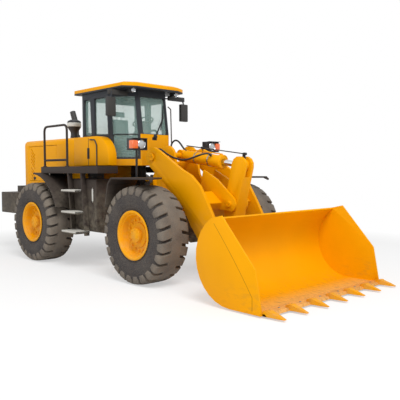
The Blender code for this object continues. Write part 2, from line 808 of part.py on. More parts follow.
def build_axle(machine, name, body, x):
    hub_face = TRACK / 2 + RIM_DISC_INNER - SEAT_GAP
    profile = [
        (0, -hub_face), (AXLE_HUB_RADIUS, -hub_face), (AXLE_HUB_RADIUS, AXLE_HUB_LENGTH - hub_face),
        (AXLE_TUBE_RADIUS, AXLE_HUB_LENGTH - hub_face + AXLE_TUBE_RADIUS / 2),
        (AXLE_TUBE_RADIUS, -DIFF_HALF - AXLE_TUBE_RADIUS), (DIFF_RADIUS, -DIFF_HALF / 2),
        (DIFF_RADIUS, DIFF_HALF / 2), (AXLE_TUBE_RADIUS, DIFF_HALF + AXLE_TUBE_RADIUS),
        (AXLE_TUBE_RADIUS, hub_face - AXLE_HUB_LENGTH - AXLE_TUBE_RADIUS / 2),
        (AXLE_HUB_RADIUS, hub_face - AXLE_HUB_LENGTH), (AXLE_HUB_RADIUS, hub_face), (0, hub_face),
    ]
    solids = [turned(profile, (x, 0, TYRE_RADIUS), (0, 1, 0), ROUND_SIDES)]
    for side in (-1, 1):
        ends = sorted((side * SADDLE_INNER, side * SADDLE_OUTER))
        solids.append(box(
            (x - SADDLE_HALF_LENGTH, x + SADDLE_HALF_LENGTH), ends, (TYRE_RADIUS, SADDLE_TOP - SEAT_GAP),
        ))
    inward = -1 if x > 0 else 1
    flange = x + inward * (DIFF_RADIUS + OVERRUN * 2)
    solids.append(rod((x, 0, TYRE_RADIUS), (flange, 0, TYRE_RADIUS), AXLE_TUBE_RADIUS, 12))
    machine.node(name, body, DARK_PAINT, solids)


def joint_plate(direction, low, high):
    """A hinge plate that narrows from its frame wall to a round end about the steering pin."""
    root = direction * JOINT_WALL_X
    lean = math.pi / 2 - math.asin(JOINT_RADIUS / JOINT_WALL_X) / 2
    base = 0 if direction > 0 else math.pi
    nose = arc((0, 0), JOINT_RADIUS, base + lean, base + 2 * math.pi - lean, 10)
    outline = nose + [(root, -direction * JOINT_ROOT_HALF), (root, direction * JOINT_ROOT_HALF)]
    return prism(outline, low, high, "Z")


def joint_cut(z):
    return bore((0, 0, z - TONGUE_HALF - OVERRUN), (0, 0, z + TONGUE_HALF + OVERRUN), STEER_PIN_RADIUS)


def build_rear_frame(machine):
    solids = []
    cuts = []
    for side in (-1, 1):
        ends = sorted((side * (BEAM_OUTER - BEAM_PLATE), side * BEAM_OUTER))
        outline = [
            (REAR_FRAME_BACK, REAR_BEAM_BOTTOM), (REAR_BEAM_DEEP_FROM - TANK_CORNER, REAR_BEAM_BOTTOM),
            (REAR_BEAM_DEEP_FROM, REAR_BEAM_DEEP_BOTTOM), (-JOINT_WALL_X, REAR_BEAM_DEEP_BOTTOM),
            (-JOINT_WALL_X, REAR_BEAM_TOP), (REAR_FRAME_BACK, REAR_BEAM_TOP),
        ]
        solids.append(prism(outline, *ends, "Y"))
    across = BEAM_OUTER + OVERRUN
    cuts.append(cross_rod((-AXLE_X, TYRE_RADIUS), AXLE_ARCH_RADIUS, -across, across))
    inner = BEAM_OUTER - BEAM_PLATE / 2
    wall = (-JOINT_WALL_X - JOINT_WALL_THICKNESS / 2, -JOINT_WALL_X + JOINT_WALL_THICKNESS / 2)
    solids.append(box(wall, (-JOINT_WALL_HALF, JOINT_WALL_HALF), (JOINT_WALL_BOTTOM, JOINT_WALL_TOP)))
    saddle = (-AXLE_X - SADDLE_HALF_LENGTH - BEAM_PLATE, -AXLE_X + SADDLE_HALF_LENGTH + BEAM_PLATE)
    solids.append(box(saddle, (-inner, inner), (SADDLE_TOP, SADDLE_TOP + BEAM_PLATE)))
    height = (REAR_BEAM_BOTTOM + BEAM_PLATE, REAR_BEAM_TOP - BEAM_PLATE)
    for x in (REAR_CROSS_FRONT, REAR_CROSS_MIDDLE, REAR_FRAME_BACK + BEAM_PLATE):
        solids.append(box((x - BEAM_PLATE / 2, x + BEAM_PLATE / 2), (-inner, inner), height))
    for z in (UPPER_JOINT_Z, LOWER_JOINT_Z):
        for up in (-1, 1):
            near = z + up * (TONGUE_HALF + MOVING_GAP)
            solids.append(joint_plate(-1, *sorted((near, near + up * LUG_PLATE))))
    pin_low = LOWER_JOINT_Z - TONGUE_HALF - MOVING_GAP - 2 * LUG_PLATE
    pin_high = UPPER_JOINT_Z + TONGUE_HALF + MOVING_GAP + 2 * LUG_PLATE
    for low, high in (
        (pin_low, LOWER_JOINT_Z + TONGUE_HALF + MOVING_GAP + LUG_PLATE),
        (UPPER_JOINT_Z - TONGUE_HALF - MOVING_GAP - LUG_PLATE, pin_high),
    ):
        solids.append(rod((0, 0, low), (0, 0, high), STEER_PIN_RADIUS))
    hanger_top = DECK_BOTTOM + BEAM_PLATE
    for x in (DECK_BACK + TANK_CORNER, DECK_HANGER_FRONT):
        half = FRAME_BRACKET_HALF
        bracket = (REAR_BEAM_TOP - TANK_CORNER, REAR_BEAM_TOP - OVERLAP)
        for side in (-1, 1):
            out = side * (DECK_INNER - SEAT_GAP)
            solids.append(box((x - half, x + half), sorted((side * inner, out)), bracket))
            post = sorted((side * (HOOD_HALF + SEAT_GAP), out))
            solids.append(box((x - half, x + half), post, (bracket[0], hanger_top)))
    machine.node("rear_frame", "root", DARK_PAINT, solids, cuts)


def build_counterweight(machine):
    solids = [box(
        (COUNTERWEIGHT_BACK, COUNTERWEIGHT_FRONT), (-COUNTERWEIGHT_HALF, COUNTERWEIGHT_HALF),
        (COUNTERWEIGHT_BOTTOM, COUNTERWEIGHT_TOP),
    )]
    solids.append(box(
        (TAIL_BLOCK_BACK, COUNTERWEIGHT_FRONT), (-TAIL_BLOCK_HALF, TAIL_BLOCK_HALF),
        (COUNTERWEIGHT_TOP - OVERRUN, TAIL_BLOCK_TOP),
    ))
    for side in (-1, 1):
        ends = sorted((side * COUNTERWEIGHT_HORN_IN, side * COUNTERWEIGHT_HALF))
        solids.append(box(
            (COUNTERWEIGHT_FRONT - OVERRUN, COUNTERWEIGHT_HORN_X), ends,
            (COUNTERWEIGHT_BOTTOM, COUNTERWEIGHT_TOP),
        ))
    cut = cross_rod(
        (-AXLE_X, TYRE_RADIUS), COUNTERWEIGHT_ARCH_RADIUS,
        -COUNTERWEIGHT_HALF - OVERRUN, COUNTERWEIGHT_HALF + OVERRUN, 32,
    )
    machine.node("counterweight", "root", DARK_PAINT, solids, [cut])


def build_engine(machine):
    solids = [box((ENGINE_BACK, ENGINE_FRONT), (-ENGINE_HALF, ENGINE_HALF), (ENGINE_BOTTOM, ENGINE_TOP))]
    foot = ENGINE_FOOT_OUT - SEAT_GAP
    middle = (ENGINE_BACK + ENGINE_FRONT) / 2
    height = (REAR_BEAM_TOP - TANK_CORNER, REAR_BEAM_TOP)
    solids.append(box((middle - SADDLE_OUTER, middle + SADDLE_OUTER), (-foot, foot), height))
    cuts = [box(
        (REAR_CROSS_MIDDLE - BEAM_PLATE, REAR_CROSS_MIDDLE + BEAM_PLATE), (-BEAM_OUTER, BEAM_OUTER),
        (ENGINE_BOTTOM - OVERRUN, REAR_BEAM_TOP),
    )]
    machine.node("engine_block", "root", WORN_STEEL, solids, cuts)


def build_hood(machine):
    outer = rounded(
        [(-HOOD_HALF, HOOD_BOTTOM), (HOOD_HALF, HOOD_BOTTOM), (HOOD_HALF, HOOD_TOP), (-HOOD_HALF, HOOD_TOP)],
        [0, 0, HOOD_CORNER, HOOD_CORNER],
    )
    half = HOOD_HALF - HOOD_WALL
    roof = HOOD_TOP - HOOD_WALL
    inner = rounded(
        [(-half, HOOD_BOTTOM - OVERRUN), (half, HOOD_BOTTOM - OVERRUN), (half, roof), (-half, roof)],
        [0, 0, HOOD_CORNER - HOOD_WALL, HOOD_CORNER - HOOD_WALL],
    )
    cuts = [prism(inner, HOOD_BACK + HOOD_WALL, HOOD_FRONT - HOOD_WALL, "X")]
    cuts.append(box(
        (HOOD_DOOR_BACK, HOOD_DOOR_FRONT), (-HOOD_HALF - OVERRUN, HOOD_HALF + OVERRUN),
        (HOOD_DOOR_BOTTOM, HOOD_DOOR_TOP),
    ))
    cuts.append(box(
        (HOOD_BACK - OVERRUN, HOOD_BACK + HOOD_WALL + OVERRUN), (-GRILLE_HALF, GRILLE_HALF),
        (GRILLE_BOTTOM, GRILLE_TOP),
    ))
    for side in (-1, 1):
        for x in (HOOD_DOOR_BACK, HOOD_DOOR_FRONT):
            place = (side * HOOD_HINGE[0], HOOD_HINGE[1])
            ends = (x - DOOR_PIN_REACH - OVERLAP, x + DOOR_PIN_REACH + OVERLAP)
            cuts.append(bore((ends[0], *place), (ends[1], *place), DOOR_PIN_RADIUS, 8))
    solids = [prism(outer, HOOD_BACK, HOOD_FRONT, "X")]
    machine.node("hood", "root", PAINT, solids, cuts)
    sill = (REAR_BEAM_TOP + SEAT_GAP, HOOD_BOTTOM - SEAT_GAP)
    sill_in = BEAM_OUTER - BEAM_PLATE
    outline = [
        (sill_in, sill[0]), (BEAM_OUTER, sill[0]), (HOOD_HALF, sill[1] - BEAM_PLATE), (HOOD_HALF, sill[1]),
        (HOOD_HALF - HOOD_WALL - BEAM_PLATE, sill[1]), (sill_in, sill[0] + BEAM_PLATE),
    ]
    for word, side in RIGHT_AND_LEFT:
        shelf = mirrored([prism(outline, COUNTERWEIGHT_FRONT + SEAT_GAP, DECK_BACK - OVERRUN, "X")], side)
        machine.node(f"hood_sill_{word}", "root", DARK_PAINT, shelf)


def build_grille(machine):
    edge = SEAT_GAP
    y = (-GRILLE_HALF + edge, GRILLE_HALF - edge)
    z = (GRILLE_BOTTOM + edge, GRILLE_TOP - edge)
    solids = [box((HOOD_BACK, HOOD_BACK + GRILLE_DEPTH), y, z)]
    clear = (z[1] - z[0] - 2 * GRILLE_FRAME - (GRILLE_SLATS - 1) * GRILLE_SLAT_HEIGHT) / GRILLE_SLATS
    cuts = []
    for k in range(GRILLE_SLATS):
        low = z[0] + GRILLE_FRAME + k * (clear + GRILLE_SLAT_HEIGHT)
        cuts.append(box(
            (HOOD_BACK - OVERRUN, HOOD_BACK + GRILLE_DEPTH + OVERRUN),
            (y[0] + GRILLE_FRAME, y[1] - GRILLE_FRAME), (low, low + clear),
        ))
    machine.node("rear_grille", "root", BLACK_PLASTIC, solids, cuts)


def hood_door(side):
    """A side panel that swings about its round top edge, with two groups of slanting louvre slots."""
    gap = MOVING_GAP
    outer = HOOD_HALF
    inner = outer - HOOD_DOOR_THICKNESS
    back, front = HOOD_DOOR_BACK + gap, HOOD_DOOR_FRONT - gap
    round_edge = arc(HOOD_HINGE, HOOD_DOOR_THICKNESS / 2, 0, math.pi, 6)
    outline = round_edge + [(inner, HOOD_DOOR_BOTTOM + gap), (outer, HOOD_DOOR_BOTTOM + gap)]
    panel = prism(outline, back, front, "X")
    pins = [
        rod((start, *HOOD_HINGE), (end, *HOOD_HINGE), DOOR_PIN_RADIUS, 8)
        for start, end in ((back - DOOR_PIN_REACH, back + OVERRUN), (front - OVERRUN, front + DOOR_PIN_REACH))
    ]
    cuts = []
    for count, low in zip(LOUVRE_COUNTS, LOUVRE_LOWS):
        for k in range(count):
            start = Vector((LOUVRE_BACK, low + k * LOUVRE_PITCH))
            along = Vector((math.cos(LOUVRE_TILT), math.sin(LOUVRE_TILT)))
            across = Vector((-along.y, along.x)) * LOUVRE_SLOT / 2
            end = start + along * LOUVRE_LENGTH
            corners = [start - across, end - across, end + across, start + across]
            cuts.append(prism([tuple(c) for c in corners], inner - OVERRUN, outer + OVERRUN, "Y"))
    return mirrored([panel, *pins], side), mirrored(cuts, side)


def build_hood_doors(machine):
    for word, side in RIGHT_AND_LEFT:
        hinge = ((HOOD_DOOR_BACK + HOOD_DOOR_FRONT) / 2, side * HOOD_HINGE[0], HOOD_HINGE[1])
        body = f"hood_door_{word}"
        machine.body(body, hinge, "root")
        solids, cuts = hood_door(side)
        machine.node(f"hood_panel_{word}", body, PAINT, solids, cuts)


def build_side_cover(machine):
    outline = [(COVER_BACK, COVER_BOTTOM), (COVER_FRONT, COVER_BOTTOM)]
    outline += arc((COVER_FRONT - COVER_ARC, COVER_TOP - COVER_ARC), COVER_ARC, 0, math.pi / 2, 8)
    outline += [(COVER_BACK, COVER_TOP)]
    solids = mirrored([prism(outline, CAB_HALF + SEAT_GAP, COVER_OUTER, "Y")], -1)
    machine.node("side_cover_right", "root", PAINT, solids)


def build_tanks(machine):
    corners = [
        (TANK_INNER, TANK_BOTTOM), (TANK_OUTER, TANK_BOTTOM), (TANK_OUTER, TANK_TOP), (TANK_INNER, TANK_TOP),
    ]
    outline = rounded(corners, [TANK_CORNER / 2, TANK_CORNER, TANK_CORNER / 4, TANK_CORNER / 4])
    arm = (REAR_BEAM_TOP - 2 * TANK_CORNER, REAR_BEAM_TOP - TANK_CORNER)
    for word, side in RIGHT_AND_LEFT:
        solids = [prism(outline, TANK_BACK, TANK_FRONT, "X")]
        across = (BEAM_OUTER + SEAT_GAP, TANK_INNER + OVERRUN)
        solids.append(box((TANK_BACK, -JOINT_WALL_X - OVERRUN), across, arm))
        machine.node(f"tank_{word}", "root", DARK_PAINT, mirrored(solids, side))


def access_solids():
    """Deck, rear fender, ladder and handrail of the left side, one welded piece."""
    solids = [box((DECK_BACK, DECK_FRONT), (DECK_INNER, DECK_OUTER), (DECK_BOTTOM, DECK_TOP))]
    centre = (-AXLE_X, TYRE_RADIUS)
    face = arc(centre, REAR_FENDER_RADIUS, *REAR_FENDER_ANGLES, 8)
    solids.append(prism(ring_of(face, REAR_FENDER_THICKNESS), DECK_INNER + OVERLAP, REAR_FENDER_OUTER, "Y"))
    for middle, height, outer in STEP_ROWS:
        solids.append(box(
            (middle - STEP_HALF, middle + STEP_HALF), (STEP_INNER + SEAT_GAP, outer),
            (height - STEP_THICKNESS, height),
        ))
    for sign in (-1, 1):
        foot, head = STEP_ROWS[-1], STEP_ROWS[0]
        reach = STEP_HALF - STILE_THICKNESS
        low = (foot[0] + sign * reach, foot[1])
        high = (head[0] + sign * reach, DECK_TOP - OVERRUN)
        foot_z = low[1] - 2 * STEP_THICKNESS
        lean = [
            (low[0] - STILE_THICKNESS, foot_z), (low[0] + STILE_THICKNESS, foot_z),
            (high[0] + STILE_THICKNESS, high[1]), (high[0] - STILE_THICKNESS, high[1]),
        ]
        solids.append(prism(lean, STEP_INNER + OVERLAP, STEP_INNER + STILE_DEPTH - OVERLAP, "Y"))
    rail = [
        (RAIL_BACK, RAIL_Y, DECK_BOTTOM + OVERRUN), (RAIL_BACK, RAIL_Y, RAIL_TOP),
        (RAIL_FRONT, RAIL_Y, RAIL_TOP), (RAIL_FRONT, RAIL_Y, DECK_BOTTOM + OVERRUN),
    ]
    solids.append(pipe(rail, RAIL_RADIUS, RAIL_BEND))
    solids.append(pipe([(RAIL_BACK, RAIL_Y, RAIL_MID), (RAIL_FRONT, RAIL_Y, RAIL_MID)], RAIL_RADIUS, 0))
    return solids


def build_access(machine):
    for word, side in RIGHT_AND_LEFT:
        machine.node(f"access_{word}", "root", DARK_PAINT, mirrored(access_solids(), side))


def build_exhaust(machine):
    stack = [
        (EXHAUST_X, EXHAUST_Y, HOOD_TOP + SEAT_GAP), (EXHAUST_X, EXHAUST_Y, EXHAUST_TOP - 2 * EXHAUST_RADIUS),
        (EXHAUST_X - 3 * EXHAUST_RADIUS, EXHAUST_Y, EXHAUST_TOP + EXHAUST_RADIUS),
    ]
    machine.node("exhaust_pipe", "root", WORN_STEEL, [pipe(stack, EXHAUST_RADIUS, 2 * EXHAUST_RADIUS, 12, 4)])
    bowl = INTAKE_BOWL_RADIUS
    profile = [(share * bowl, HOOD_TOP + SEAT_GAP + up * bowl) for share, up in INTAKE_FOOT_SHARES]
    profile += [(share * bowl, INTAKE_BOWL_Z + up * bowl) for share, up in INTAKE_BOWL_SHARES]
    machine.node(
        "air_intake", "root", BLACK_PLASTIC, [turned(profile, (INTAKE_X, INTAKE_Y, 0), (0, 0, 1), 16)],
    )


def cab_plan(height, inset=0.0):
    """The cab's outline seen from above, its front leaning back over the waist."""
    lean = CAB_LEAN * max(0.0, height - CAB_WAIST) / (CAB_TOP - CAB_WAIST)
    points = [
        (CAB_BACK, -CAB_HALF), (CAB_CORNER_X - lean / 2, -CAB_HALF), (CAB_FRONT - lean, -CAB_FRONT_HALF),
        (CAB_FRONT - lean, CAB_FRONT_HALF), (CAB_CORNER_X - lean / 2, CAB_HALF), (CAB_BACK, CAB_HALF),
    ]
    if inset == 0:
        return points
    moved = []
    for i, point in enumerate(points):
        before = (Vector(point) - Vector(points[i - 1])).normalized()
        after = (Vector(points[(i + 1) % len(points)]) - Vector(point)).normalized()
        first = Vector((-before.y, before.x))
        second = Vector((-after.y, after.x))
        inward = (first + second).normalized()
        moved.append(tuple(Vector(point) + inward * inset / inward.dot(first)))
    return moved


def lofted(levels):
    """A solid through outlines of equal count, one above another. Each level is (height, outline)."""
    bm = bmesh.new()
    rings = [[bm.verts.new((*point, height)) for point in outline] for height, outline in levels]
    bm.faces.new(rings[0])
    bm.faces.new(reversed(rings[-1]))
    for low, high in zip(rings, rings[1:]):
        for i in range(len(low)):
            j = (i + 1) % len(low)
            bm.faces.new((low[i], low[j], high[j], high[i]))
    return finished(bm)


# Corners of cab_plan that start each face: right side, right corner, front, left corner, left side, rear
RIGHT_FACE, RIGHT_CORNER_FACE, FRONT_FACE, LEFT_CORNER_FACE, LEFT_FACE, REAR_FACE = range(6)
SIDE_LENGTH = CAB_CORNER_X - CAB_BACK
SIDE_SPLIT = DOOR_BACK - CAB_BACK
PILLAR = 0.07
CAB_WINDOWS = (
    # name, face, sill height, head height, margin at the face's start, margin at its end
    (
        "glass_side_right_rear", RIGHT_FACE, CAB_WAIST, WINDOW_HEAD, PILLAR,
        SIDE_LENGTH - SIDE_SPLIT + PILLAR / 2,
    ),
    ("glass_side_right_front", RIGHT_FACE, CAB_WAIST, WINDOW_HEAD, SIDE_SPLIT + PILLAR, PILLAR / 2),
    ("glass_corner_right", RIGHT_CORNER_FACE, CAB_WAIST - CORNER_SILL_DROP, WINDOW_HEAD, PILLAR, PILLAR),
    ("glass_front", FRONT_FACE, CAB_WAIST, WINDOW_HEAD, PILLAR / 2, PILLAR / 2),
    ("glass_corner_left", LEFT_CORNER_FACE, CAB_WAIST - CORNER_SILL_DROP, WINDOW_HEAD, PILLAR, PILLAR),
    ("glass_side_left", LEFT_FACE, CAB_WAIST, WINDOW_HEAD, SIDE_LENGTH - SIDE_SPLIT + PILLAR / 2, PILLAR),
    ("glass_rear", REAR_FACE, CAB_WAIST + REAR_SILL_RISE, WINDOW_HEAD, PILLAR * 1.5, PILLAR * 1.5),
)


def cab_slab(face, sill, head, margins, depth):
    """A window slab in two stretches, because the front leans only above the waist."""
    if sill < CAB_WAIST - OVERLAP:
        points = [cab_slab_outline(face, z, margins, depth) for z in (sill, CAB_WAIST, head)]
        return lofted(list(zip((sill, CAB_WAIST, head), points)))
    return lofted([(z, cab_slab_outline(face, z, margins, depth)) for z in (sill, head)])


def cab_slab_outline(corner, height, margins, depth):
    points = cab_plan(height)
    start, end = Vector(points[corner]), Vector(points[(corner + 1) % len(points)])
    along = (end - start).normalized()
    outward = Vector((along.y, -along.x))
    near = start + along * margins[0]
    far = end - along * margins[1]
    return [
        tuple(near - outward * depth[0]), tuple(far - outward * depth[0]),
        tuple(far + outward * depth[1]), tuple(near + outward * depth[1]),
    ]


def build_cab(machine):
    heights = (CAB_FLOOR, CAB_WAIST, CAB_TOP)
    solids = [lofted([(z, cab_plan(z)) for z in heights])]
    inside = (CAB_FLOOR + CAB_FLOOR_THICKNESS, CAB_WAIST, CAB_TOP + OVERRUN)
    cuts = [lofted([(z, cab_plan(z, CAB_WALL)) for z in inside])]
    for name, face, sill, head, first, last in CAB_WINDOWS:
        cuts.append(cab_slab(face, sill, head, (first, last), (CAB_WALL + OVERRUN, OVERRUN)))
        inset = first + GLASS_GAP, last + GLASS_GAP
        low, high = sill + GLASS_GAP, head - GLASS_GAP
        pane = cab_slab(face, low, high, inset, (CAB_WALL / 2 + GLASS_THICKNESS, -CAB_WALL / 2))
        machine.node(name, "root", GLASS, [pane])
    gap = DOOR_GAP
    cuts.append(box(
        (DOOR_BACK - gap, DOOR_FRONT + gap), (CAB_HALF - CAB_WALL - OVERRUN, CAB_HALF + OVERRUN),
        (DOOR_BOTTOM - gap, DOOR_TOP + gap),
    ))
    for z in (DOOR_BOTTOM, DOOR_TOP):
        low, high = z - DOOR_PIN_REACH - OVERLAP, z + DOOR_PIN_REACH + OVERLAP
        cuts.append(bore((*CAB_DOOR_HINGE, low), (*CAB_DOOR_HINGE, high), DOOR_PIN_RADIUS, 8))
    foot = [box(
        (CAB_BACK + OVERRUN, DOOR_BACK), sorted((side * CAB_FOOT_INNER, side * CAB_FOOT_OUTER)),
        (REAR_BEAM_TOP + SEAT_GAP, CAB_FLOOR + OVERLAP),
    ) for side in (-1, 1)]
    mount_foot = [box(
        (CAB_BACK + OVERRUN, DOOR_BACK), sorted((side * (BEAM_OUTER - BEAM_PLATE), side * CAB_FOOT_OUTER)),
        (REAR_BEAM_TOP + SEAT_GAP, REAR_BEAM_TOP + OVERRUN),
    ) for side in (-1, 1)]
    mirrors = []
    for side in (-1, 1):
        high = CAB_TOP - MIRROR_ARM_DROP
        arm = [
            (DOOR_FRONT + MIRROR_ARM_ROOT, side * (CAB_HALF - MIRROR_ARM_INSET), high),
            (MIRROR_ELBOW_X, side * MIRROR_ELBOW_Y, high),
            (MIRROR_TIP_X, side * MIRROR_TIP_Y, CAB_TOP - MIRROR_TIP_DROP),
        ]
        mirrors.append(pipe(arm, MIRROR_ARM_RADIUS, MIRROR_ARM_BEND, 6))
        mirrors.append(box(
            (MIRROR_BACK, MIRROR_FRONT), sorted((side * MIRROR_INNER, side * MIRROR_OUTER)),
            (CAB_TOP - MIRROR_DROP - MIRROR_HEIGHT, CAB_TOP - MIRROR_DROP),
        ))
    machine.node("cab_shell", "root", CAB_PAINT, solids + foot + mount_foot + mirrors, cuts)


def build_cab_door(machine):
    body = "cab_door_left"
    machine.body(body, (*CAB_DOOR_HINGE, DOOR_BOTTOM), "root")
    y = (CAB_HALF - DOOR_THICKNESS, CAB_HALF)
    glass_low, glass_high = DOOR_BOTTOM + 2 * DOOR_FRAME, DOOR_TOP - DOOR_FRAME
    x = (DOOR_BACK + DOOR_FRAME, DOOR_FRONT - DOOR_FRAME)
    round_edge = arc(CAB_DOOR_HINGE, DOOR_THICKNESS / 2, -math.pi / 2, math.pi / 2, 6)
    frame = prism(round_edge + [(DOOR_BACK, y[1]), (DOOR_BACK, y[0])], DOOR_BOTTOM, DOOR_TOP, "Z")
    pins = [
        rod((*CAB_DOOR_HINGE, low), (*CAB_DOOR_HINGE, high), DOOR_PIN_RADIUS, 8)
        for low, high in (
            (DOOR_BOTTOM - DOOR_PIN_REACH, DOOR_BOTTOM + OVERRUN),
            (DOOR_TOP - OVERRUN, DOOR_TOP + DOOR_PIN_REACH),
        )
    ]
    cut = box(x, (y[0] - OVERRUN, y[1] + OVERRUN), (glass_low, glass_high))
    grip = DOOR_BACK + DOOR_HANDLE_INSET
    handle = box(
        (grip, grip + DOOR_HANDLE_WIDTH), (CAB_HALF - OVERLAP, CAB_HALF + DOOR_HANDLE_REACH),
        (DOOR_HANDLE_BOTTOM, DOOR_HANDLE_TOP),
    )
    machine.node("cab_door_frame_left", body, CAB_PAINT, [frame, handle, *pins], [cut])
    middle = (y[0] + y[1]) / 2
    pane = box(
        (x[0] + GLASS_GAP, x[1] - GLASS_GAP), (middle, middle + GLASS_THICKNESS),
        (glass_low + GLASS_GAP, glass_high - GLASS_GAP),
    )
    machine.node("cab_door_glass_left", body, GLASS, [pane])


def build_roof(machine):
    plan = [
        (ROOF_BACK, -ROOF_HALF), (ROOF_CORNER_X, -ROOF_HALF), (ROOF_FRONT, -ROOF_CORNER_HALF),
        (ROOF_FRONT, ROOF_CORNER_HALF), (ROOF_CORNER_X, ROOF_HALF), (ROOF_BACK, ROOF_HALF),
    ]
    shrink = [(x * ROOF_CROWN_LENGTH_SHARE - ROOF_CROWN_SHIFT, y * ROOF_CROWN_WIDTH_SHARE) for x, y in plan]
    low = CAB_TOP + SEAT_GAP
    high = low + ROOF_THICKNESS
    solids = [lofted([(low, plan), (high - ROOF_CROWN, plan), (high, shrink)])]
    for side in (-1, 1):
        middle = side * ROOF_LAMP_Y
        solids.append(box(
            (ROOF_LAMP_BACK, ROOF_LAMP_FRONT), (middle - ROOF_LAMP_HALF, middle + ROOF_LAMP_HALF),
            (low - ROOF_LAMP_HEIGHT, low + OVERLAP),
        ))
    machine.node("cab_roof", "root", PAINT, solids)


def build_cab_inside(machine):
    floor = CAB_FLOOR + CAB_FLOOR_THICKNESS + SEAT_GAP
    bottom, top = floor + SEAT_CUSHION_BOTTOM, floor + SEAT_CUSHION_TOP
    cushion = rounded(
        [(-SEAT_HALF, bottom), (SEAT_HALF, bottom), (SEAT_HALF, top), (-SEAT_HALF, top)],
        [0, 0, SEAT_CORNER, SEAT_CORNER],
    )
    back = SEAT_X - SEAT_HALF
    solids = [prism(cushion, back, SEAT_X + SEAT_FRONT_REACH, "X")]
    solids.append(box(
        (SEAT_X - SEAT_BOX_HALF_LENGTH, SEAT_X + SEAT_BOX_HALF_LENGTH),
        (-SEAT_BOX_HALF_WIDTH, SEAT_BOX_HALF_WIDTH), (floor, bottom + OVERLAP),
    ))
    rest = [
        (back, floor + SEAT_BACK_BOTTOM), (back + SEAT_BACK_THICKNESS, floor + SEAT_BACK_BOTTOM),
        (back - SEAT_BACK_LEAN + SEAT_BACK_TOP_THICKNESS, floor + SEAT_BACK_TOP),
        (back - SEAT_BACK_LEAN, floor + SEAT_BACK_TOP),
    ]
    solids.append(prism(rest, -SEAT_BACK_HALF, SEAT_BACK_HALF, "Y"))
    machine.node("seat", "root", SEAT_CLOTH, solids)
    head = floor + CONSOLE_HEIGHT
    column = [
        (CONSOLE_X, floor), (CONSOLE_X + CONSOLE_FOOT, floor),
        (CONSOLE_X + CONSOLE_HEAD_HALF, head + CONSOLE_SLOPE), (CONSOLE_X - CONSOLE_HEAD_HALF, head),
    ]
    solids = [prism(column, -CONSOLE_HALF, CONSOLE_HALF, "Y")]
    hub = Vector((CONSOLE_X, 0, head))
    tilt = Vector((-math.sin(STEERING_TILT), 0, math.cos(STEERING_TILT)))
    ring, thick, rise = WHEEL_RING_RADIUS, WHEEL_RING_THICKNESS, WHEEL_RING_RISE
    profile = [
        (0, rise - WHEEL_DISH), (ring, rise), (ring + thick, rise + thick), (ring, rise + 2 * thick),
        (0, rise + 2 * thick - WHEEL_DISH),
    ]
    solids.append(turned(profile, hub, tilt, 12))
    solids.append(rod(hub - tilt * OVERRUN, hub + tilt * WHEEL_HUB_REACH, WHEEL_HUB_RADIUS, 8))
    machine.node("steering_console", "root", BLACK_PLASTIC, solids)


